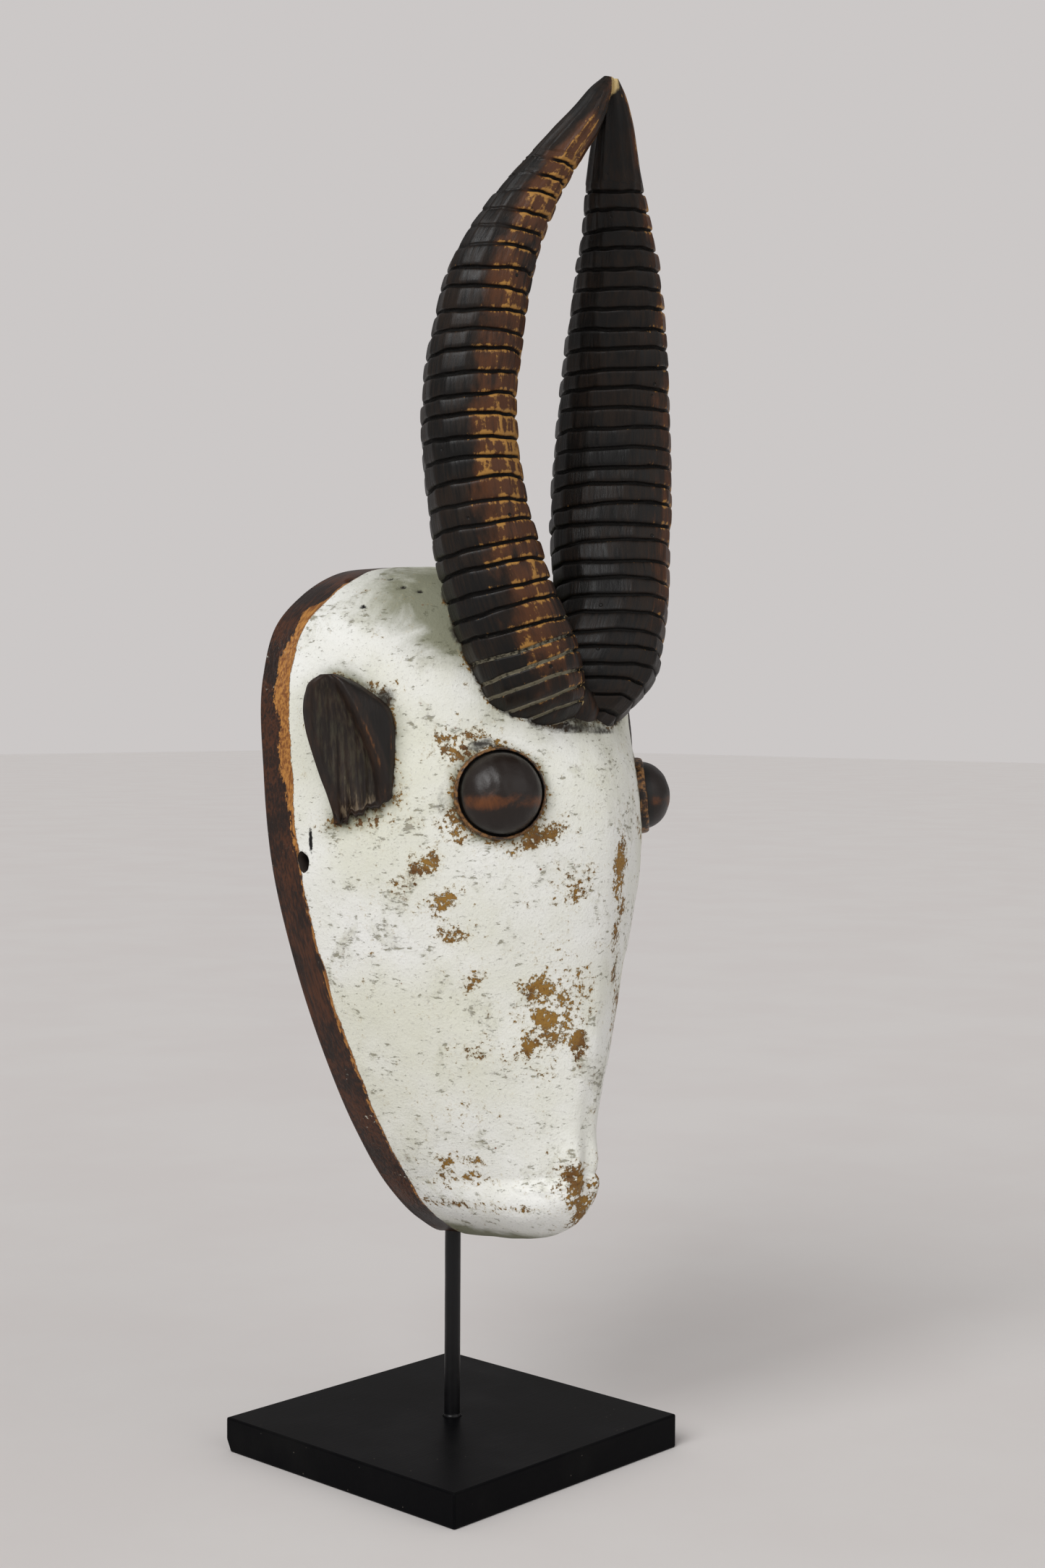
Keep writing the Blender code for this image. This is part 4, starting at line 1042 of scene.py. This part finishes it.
# Sooted and oiled wood: black-brown fibres along the horn, a low bluish shine on the bands, gold
# and red where it is rubbed, gold along the cut lips and facet ridges also as a painted highlight,
# and painted shade, dead black, in the saw cuts and beetle holes
horn_wood, tree, place = finish_named("sooted and oiled wood of the horns")
straight_in = marked(tree, "straight", "Vector")
cut_in = marked(tree, "cut")
lip_wear_and_highlight_in = marked(tree, "lip")
rub_in = marked(tree, "rub")
dust_in = marked(tree, "dust")
pale_in = marked(tree, "pale")
fibre_place = stretch(tree, straight_in, (1.0, 1.0, 0.10))
fibre = noise(tree, fibre_place, HORN_FIBRE, 5.0, 0.6)
streak_place = stretch(tree, straight_in, (1.0, 1.0, 0.22))
streaks = noise(tree, streak_place, HORN_STREAK, 6.0, 0.65)
clouds = noise(tree, place, HORN_CLOUD, 5.0, 0.6)
specks = noise(tree, place, HORN_SPECK, 5.0, 0.7)
brown = times(tree, fibre, clouds)
brown = total(tree, brown, (rub_in, 0.16))
brown = ease(tree, brown, 0.17, 0.38)
colour = blend(tree, brown, HORN_BLACK, HORN_BROWN)
red = total(tree, -0.55, (streaks, 1.1), (rub_in, 0.75), (clouds, 0.7))
red = ease(tree, red, 0.55, 0.95, 0.9)
colour = blend(tree, red, colour, HORN_RED)
# gold: rubbed wear, and along the cut lips and facet ridges also a painted highlight
gold = total(tree, -0.75, (streaks, 1.5), (specks, 0.8), (rub_in, 0.55), (lip_wear_and_highlight_in, 0.30))
gold = ease(tree, gold, 0.92, 1.12, 0.95)
colour = blend(tree, gold, colour, HORN_GOLD)
# painted shade: the saw cuts are painted dead black
colour = blend(tree, cut_in, colour, HORN_RECESS_SHADE)
dusty = times(tree, specks, dust_in)
dusty = ease(tree, dusty, 0.26, 0.48, 0.9)
colour = blend(tree, dusty, colour, HORN_DUST)
palely = total(tree, -0.45, (streaks, 0.9), pale_in)
palely = ease(tree, palely, 0.5, 0.8)
colour = blend(tree, palely, colour, HORN_PALE)
# painted shade: beetle holes, one in a patch of some 15 mm, painted dead black
beetle_spot = dots(tree, place, BEETLE_CELL, 0.075, 0.045)[0]
colour = blend(tree, beetle_spot, colour, HORN_RECESS_SHADE)
gloss = level(tree, fibre, 0.3, 0.7, 0.18, 0.38)
gloss = total(tree, gloss, (streaks, 0.28))
gloss = node(tree, "ShaderNodeMath", {0: cut_in, 1: 0.4, 2: gloss}, operation="MULTIPLY_ADD",
             use_clamp=True)[0]
height = total(tree, fibre, (beetle_spot, -2.0), (streaks, 0.8))
dress(tree, colour, gloss, height, strength=0.7, depth=0.00035, shine=0.26)

table = np.array(HORN_LINE)
path = np.column_stack([
    table[:, 1] * HORN_SPREAD, BROW_HEIGHT + table[:, 0] * HORN_RISE, table[:, 2] * HEAD_DEPTH,
    table[:, 3] * HORN_WIDTH / 2, table[:, 4] * HORN_THICKNESS / 2])
horn_keys = lengths_along(path[:, :3])
horn_length = horn_keys[-1]
horn_rows = np.column_stack([horn_keys, path])
horns = []
for name, (side_sign, smooth_tip) in HORNS.items():
    dice = np.random.default_rng(41 + side_sign)
    stations = []
    groove = horn_length - smooth_tip
    index = 0
    while groove > RING_PITCH * 0.6:
        for step in GROOVE_STEPS:
            stations.append((groove + step * 0.001, step, index))
        groove -= RING_PITCH
        index += 1
    last_band = HALF_BAND * 0.001
    for extra in np.linspace(0, 1, TIP_ROWS)[1:]:
        tip_row = horn_length - smooth_tip + last_band + (smooth_tip - last_band) * extra
        stations.append((tip_row, FAR_FROM_CUT, -1))
    stations.append((0.0, FAR_FROM_CUT, -1))
    stations.sort()
    at = np.array([s[0] for s in stations])
    steps = np.array([s[1] for s in stations])
    ring_index = np.array([s[2] for s in stations])
    here = smooth_read(horn_rows, at)
    ahead = smooth_read(horn_rows, np.minimum(at + 0.002, horn_length))
    behind = smooth_read(horn_rows, np.maximum(at - 0.002, 0.0))
    along = ahead[:, :3] - behind[:, :3]
    along /= np.linalg.norm(along, axis=1)[:, None]
    diagonal = np.array((math.sin(HORN_DIAGONAL), 0.0, math.cos(HORN_DIAGONAL)))
    wide = diagonal - along * (along @ diagonal)[:, None]
    wide /= np.linalg.norm(wide, axis=1)[:, None]
    thin = np.cross(along, wide)
    lean = smooth_read(RING_LEAN, (here[:, 1] - BROW_HEIGHT) / HORN_RISE)
    plane = np.column_stack([lean[:, 0], np.ones(len(at)), lean[:, 1]])
    turn = 2 * math.pi * np.arange(HORN_AROUND) / HORN_AROUND
    power = 2 / HORN_SQUARENESS
    c, s = np.cos(turn), np.sin(turn)
    square_c = np.sign(c) * np.abs(c) ** power
    square_s = np.sign(s) * np.abs(s) ** power
    way = wide[:, None] * square_c[:, None] + thin[:, None] * square_s[:, None]
    way_unit = way / np.linalg.norm(way, axis=-1, keepdims=True)
    seen_way = way_unit * (side_sign, 1, 1)
    # each saw cut wanders a little, is cut to its own depth, and some fade out on the outer side
    wobble = np.zeros((len(at), HORN_AROUND))
    depth_share = np.ones((len(at), HORN_AROUND))
    band = ring_index + (steps < 0)
    band_size = dice.uniform(0.0, BAND_UNEVEN, index + 2)[band]
    band_shift = dice.uniform(-0.006, 0.006, index + 2)[band]
    for k in range(index):
        these = ring_index == k
        phases = dice.uniform(0, 2 * math.pi, len(CUT_WANDER))
        wander = sum(size * np.sin(waves * turn + phase)
                     for (size, waves), phase in zip(CUT_WANDER, phases))
        fade = 1 - (np.abs(steps[these]) / HALF_BAND) ** 2
        wobble[these] = wander * fade[:, None]
        depth_share[these] = dice.uniform(0.82, 1.0)
        if name == "right" and k < FADED_RINGS:
            faded = smooth_step((seen_way[these] @ FADED_SIDE + 0.25) / 0.6)
            depth_share[these] *= 1 - (0.97 - 0.10 * k) * faded
    shape = np.interp(np.abs(steps), (0.0, 0.55, 0.95, 1.4, 2.2, FAR_FROM_CUT),
                      (1.0, 0.95, 0.24, 0.08, 0.0, 0.0))
    sink = GROOVE_DEPTH * shape[:, None] * depth_share + band_size[:, None] * (1 - shape[:, None])
    near_cut = np.clip(1 - np.abs(steps) / HALF_BAND, 0, 1) ** 2
    sink += BAND_CROWN * near_cut[:, None]
    slow = 0.8 * np.sin(at * 21 + side_sign) + 0.4 * np.sin(at * 57)
    slow = slow + dice.uniform(-1.3, 1.3, index + 2)[band]
    part = (turn[None] + 0.12 * slow[:, None]) * HORN_FACETS / (2 * math.pi) % 1 - 0.5
    sink += FACET_DEPTH * (1 - (2 * part) ** 2)
    taper = np.minimum(here[:, 3:4] / 0.012, 1.0)
    sink = sink * taper
    reach = (wide[:, None] * (square_c[None] * (here[:, 3:4] - sink))[..., None]
             + thin[:, None] * (square_s[None] * (here[:, 4:5] - sink))[..., None])
    lift = (reach * plane[:, None]).sum(-1) / (along * plane).sum(-1)[:, None]
    reach = reach - along[:, None] * lift[..., None] + along[:, None] * wobble[..., None]
    points = (here[:, None, :3] + reach) * (side_sign, 1, 1)
    ends = [end.mean(axis=1, keepdims=True) * np.ones((1, HORN_AROUND, 1))
            for end in (points[:1], points[-1:])]
    points = np.concatenate([ends[0], points, ends[1]])
    rub = smooth_step((seen_way @ RUBBED_SIDE + (0.45 if name == "right" else -0.30)) / 0.85)
    uneven = ripple(points[1:-1].reshape(-1, 3), 0.05, 43 + side_sign).reshape(rub.shape)
    rub = rub * (0.74 + 0.30 * uneven) * (1.0 if name == "right" else 0.9)
    rub = rub * (0.45 + 0.55 * smooth_step((at[:, None] - 0.03) / 0.10))
    cut = smooth_step((shape[:, None] * depth_share - 0.28) / 0.45)
    # the cut lips and facet ridges are marked for gold: edge wear, and a painted highlight where
    # they catch the light
    lip = np.interp(np.abs(steps), (0.0, 0.7, 1.0, 1.9, 2.8, FAR_FROM_CUT), (0, 0, 1, 0.8, 0, 0))
    lip = lip[:, None] * depth_share
    ridge = smooth_step((2 * np.abs(part) - 0.72) / 0.28)
    lip = np.maximum(lip, ridge * np.where(ring_index < 0, 1.0, 0.55)[:, None])
    low = smooth_step((0.115 - at) / 0.06)[:, None]
    outer = smooth_step((seen_way @ np.array((-0.9, 0, 0.3)) + 0.3) / 0.8)
    dust = low * np.clip(0.3 + outer, 0, 1) * smooth_step((shape[:, None] - 0.05) / 0.3)
    dust = dust * (1.0 if name == "right" else 0.3)
    spots = points[1:-1]
    pale = np.zeros(rub.shape)
    if name == "right":
        for u, v, w, radius in HORN_CHIPS:
            near = np.linalg.norm(spots - (u, v, w), axis=-1)
            chip = spots[np.unravel_index(near.argmin(), near.shape)]
            near = np.linalg.norm(spots - chip, axis=-1)
            pale = np.maximum(pale, smooth_step((1.6 * radius - near) / radius))
    tip_near = smooth_step((at - horn_length + 0.014) / 0.010)[:, None]
    seam = np.exp(-(spots[..., 0] / 0.0022) ** 2)
    pale = np.maximum(pale, tip_near * (0.40 + 0.60 * seam))
    straight = np.stack([here[:, 3:4] * c + band_shift[:, None],
                         here[:, 4:5] * s + 0.7 * band_shift[:, None],
                         at[:, None] * np.ones(HORN_AROUND)], axis=-1)
    marks = {"straight": straight, "cut": cut, "lip": lip, "rub": rub, "dust": dust, "pale": pale}
    marks = {key: np.concatenate([value[:1], value, value[-1:]]) for key, value in marks.items()}
    horn = rings_to_piece(f"horn_{name}", stood(kept_in_wood(points)), marks)
    horn.data.materials.append(horn_wood)
    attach(horn, "root")
    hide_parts("mask")
    horns.append(horn)

# Brow knob: the two roots run together in front in one squat knob, worn smooth and shiny
KNOB_HEIGHT = 0.2600
KNOB_FORWARD = 0.0990
KNOB_HALF_WIDTH = 0.0165
KNOB_HALF_HEIGHT = 0.0140
KNOB_HALF_DEPTH = 0.0125
KNOB_AROUND = 96
KNOB_CLIMB = 60
KNOB_UNEVEN = 0.035

turn = np.linspace(0, 2 * math.pi, KNOB_AROUND, endpoint=False)
climb = np.linspace(-math.pi / 2, math.pi / 2, KNOB_CLIMB)
ring_c, ring_s = np.cos(climb)[:, None], np.sin(climb)[:, None]
ring_c[0] = ring_c[-1] = 0.0
local = np.stack([KNOB_HALF_WIDTH * ring_c * np.cos(turn), KNOB_HALF_HEIGHT * ring_s + 0 * turn,
                  KNOB_HALF_DEPTH * ring_c * np.sin(turn)], axis=-1)
uneven = ripple(local.reshape(-1, 3), 0.012, 61).reshape(local.shape[:2])
local *= 1 - KNOB_UNEVEN * (1 + uneven)[..., None] / 2
blank = np.zeros(local.shape[:2])
knob = rings_to_piece("brow_knob", stood(local + (0.0, KNOB_HEIGHT, KNOB_FORWARD)), {
    "straight": local[..., [0, 2, 1]], "cut": blank, "lip": blank, "rub": blank + 0.25,
    "dust": blank + 0.25, "pale": blank})
knob.data.materials.append(horn_wood)
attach(knob, "root")
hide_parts("mask")

# Painted shade: the white is darkened to greenish grey round everything that stands up from it,
# most beside the horns on the crown, and under the chin. Right next to each piece the kaolin is
# also rubbed through and sooted.
SHADE_REACH = {"horn": 0.026, "brow": 0.010, "eye": 0.005, "ear": 0.007}
RUB_REACH = {"horn": 0.0022, "brow": 0.0022, "eye": 0.0036, "ear": 0.0018}
CROWN_SHADE_FROM = 0.382
CHIN_SHADE_BELOW = 0.126
SOOT_REACH = {"horn": 0.0016, "brow": 0.0030, "eye": 0.0011, "ear": 0.0008}
head_points = np.zeros(len(head.data.vertices) * 3)
head.data.vertices.foreach_get("co", head_points)
head_points = head_points.reshape(-1, 3)
marks = {mark: np.zeros(len(head_points), np.float32) for mark in ("edge", "rubbed", "smudged")}
for mark, values in marks.items():
    head.data.attributes[mark].data.foreach_get("value", values)
edge_values, rubbed_values, soot_and_hole_shade_values = marks.values()
# painted shade under the chin, darker towards its lowest part
painted_shade_values = 0.75 * smooth_step((CHIN_SHADE_BELOW - head_points[:, 2]) / 0.014)
on_face = np.flatnonzero(edge_values > 0)
broken = 0.80 + 0.55 * ripple(head_points, 0.012, 51)
patchy = 0.90 + 0.75 * ripple(head_points, 0.018, 52)
crown_share = 0.25 + 0.75 * smooth_step((head_points[:, 2] - CROWN_SHADE_FROM) / 0.04)
for piece in horns + eyes + ears + [knob]:
    kind = piece.name.split("_")[0]
    data = piece.data
    tree_near = BVHTree.FromPolygons([v.co for v in data.vertices],
                                     [tuple(p.vertices) for p in data.polygons])
    limit = 2.5 * SHADE_REACH[kind]
    for k in on_face:
        hit = tree_near.find_nearest(Vector(head_points[k]), limit)
        if hit[0] is not None:
            far = hit[3]
            shade_share = crown_share[k] if kind == "horn" else 0.45
            shade_there = math.exp(-far / SHADE_REACH[kind]) * shade_share
            painted_shade_values[k] = max(painted_shade_values[k], shade_there)
            worn_there = 0.95 * math.exp(-(far / (RUB_REACH[kind] * broken[k])) ** 2)
            rubbed_values[k] = max(rubbed_values[k], worn_there)
            soot_there = 0.85 * math.exp(-(far / (SOOT_REACH[kind] * patchy[k])) ** 2)
            soot_and_hole_shade_values[k] = max(soot_and_hole_shade_values[k], soot_there)
layer = head.data.attributes.new("grime", "FLOAT", "POINT")
layer.data.foreach_set("value", painted_shade_values.astype(np.float32))
head.data.attributes["rubbed"].data.foreach_set("value", rubbed_values)
head.data.attributes["smudged"].data.foreach_set("value", soot_and_hole_shade_values)

# ---------------------------------------------------------------------------------------------
# Table and light: a pale matt floor, one large soft lamp high on the camera's left, a weaker
# one low on its right, and an even pale surround.
# ---------------------------------------------------------------------------------------------
FLOOR_PALE = "#e2dfdd"
FLOOR_SHADE = "#e0dcda"
ROOM_PALE = "#dcd8d7"
ROOM_SEEN = 0.84
ROOM_GLOW = 0.46
FLOOR_REACH = 12.0
FLOOR_ROUGHNESS = 0.9
FLOOR_CLOUD = 0.2

floor_paper, tree, place = finish_named("pale matt floor")
clouds = noise(tree, place, FLOOR_CLOUD, 6.0, 0.6)
clouds = ease(tree, clouds, 0.35, 0.65)
colour = blend(tree, clouds, FLOOR_PALE, FLOOR_SHADE)
paper = tree.nodes["Principled BSDF"]
tree.links.new(colour, paper.inputs["Base Color"])
paper.inputs["Roughness"].default_value = FLOOR_ROUGHNESS
corners = [(-FLOOR_REACH, -FLOOR_REACH, 0), (FLOOR_REACH, -FLOOR_REACH, 0),
           (FLOOR_REACH, FLOOR_REACH, 0), (-FLOOR_REACH, FLOOR_REACH, 0)]
floor_mesh = bpy.data.meshes.new("floor")
floor_mesh.from_pydata(corners, [], [(0, 1, 2, 3)])
floor_mesh.materials.append(floor_paper)
floor = bpy.data.objects.new("floor", floor_mesh)
bpy.context.scene.collection.objects.link(floor)

room = bpy.data.worlds.new("pale surround")
room.use_nodes = True
seen = node(room.node_tree, "ShaderNodeLightPath")["Is Camera Ray"]
glow = node(room.node_tree, "ShaderNodeMath", {0: seen, 1: ROOM_SEEN - ROOM_GLOW, 2: ROOM_GLOW},
            operation="MULTIPLY_ADD")[0]
backdrop = room.node_tree.nodes["Background"]
backdrop.inputs["Color"].default_value = linear(ROOM_PALE)
room.node_tree.links.new(glow, backdrop.inputs["Strength"])
bpy.context.scene.world = room
bpy.context.scene.view_settings.view_transform = "Standard"

# name, the way to it, how wide it looks in degrees and its strength
LAMPS = [
    ("soft lamp left", (-1.05, -0.25, 0.85), 36.0, 1.90),
    ("soft lamp right", (0.10, -1.00, 0.35), 60.0, 0.55)]
for name, way, width, strength in LAMPS:
    lamp = bpy.data.lights.new(name, "SUN")
    lamp.angle = math.radians(width)
    lamp.energy = strength
    holder = bpy.data.objects.new(name, lamp)
    holder.rotation_mode = "QUATERNION"
    holder.rotation_quaternion = Vector(way).to_track_quat("Z", "Y")
    bpy.context.scene.collection.objects.link(holder)

# Camera: a little above the middle of the mask, on its right front, level to two degrees
CAMERA_PLACE = Vector((-0.80830, -0.79096, 0.37634))
CAMERA_RIGHT = Vector((0.67798, -0.73506, 0.00565))
CAMERA_UP = Vector((0.02304, 0.02893, 0.99932))
CAMERA_AHEAD = Vector((0.73472, 0.67738, -0.03655))
CAMERA_LENS = 52.16

camera_data = bpy.data.cameras.new("camera")
camera_data.sensor_fit = "AUTO"
camera_data.sensor_width = 36.0
camera_data.lens = CAMERA_LENS
camera_data.clip_start = 0.01
camera_data.clip_end = 100.0
camera = bpy.data.objects.new("camera", camera_data)
turned = Matrix((CAMERA_RIGHT, CAMERA_UP, -CAMERA_AHEAD)).transposed()
camera.rotation_mode = "QUATERNION"
camera.rotation_quaternion = turned.to_quaternion()
camera.location = CAMERA_PLACE
bpy.context.scene.collection.objects.link(camera)
bpy.context.scene.camera = camera
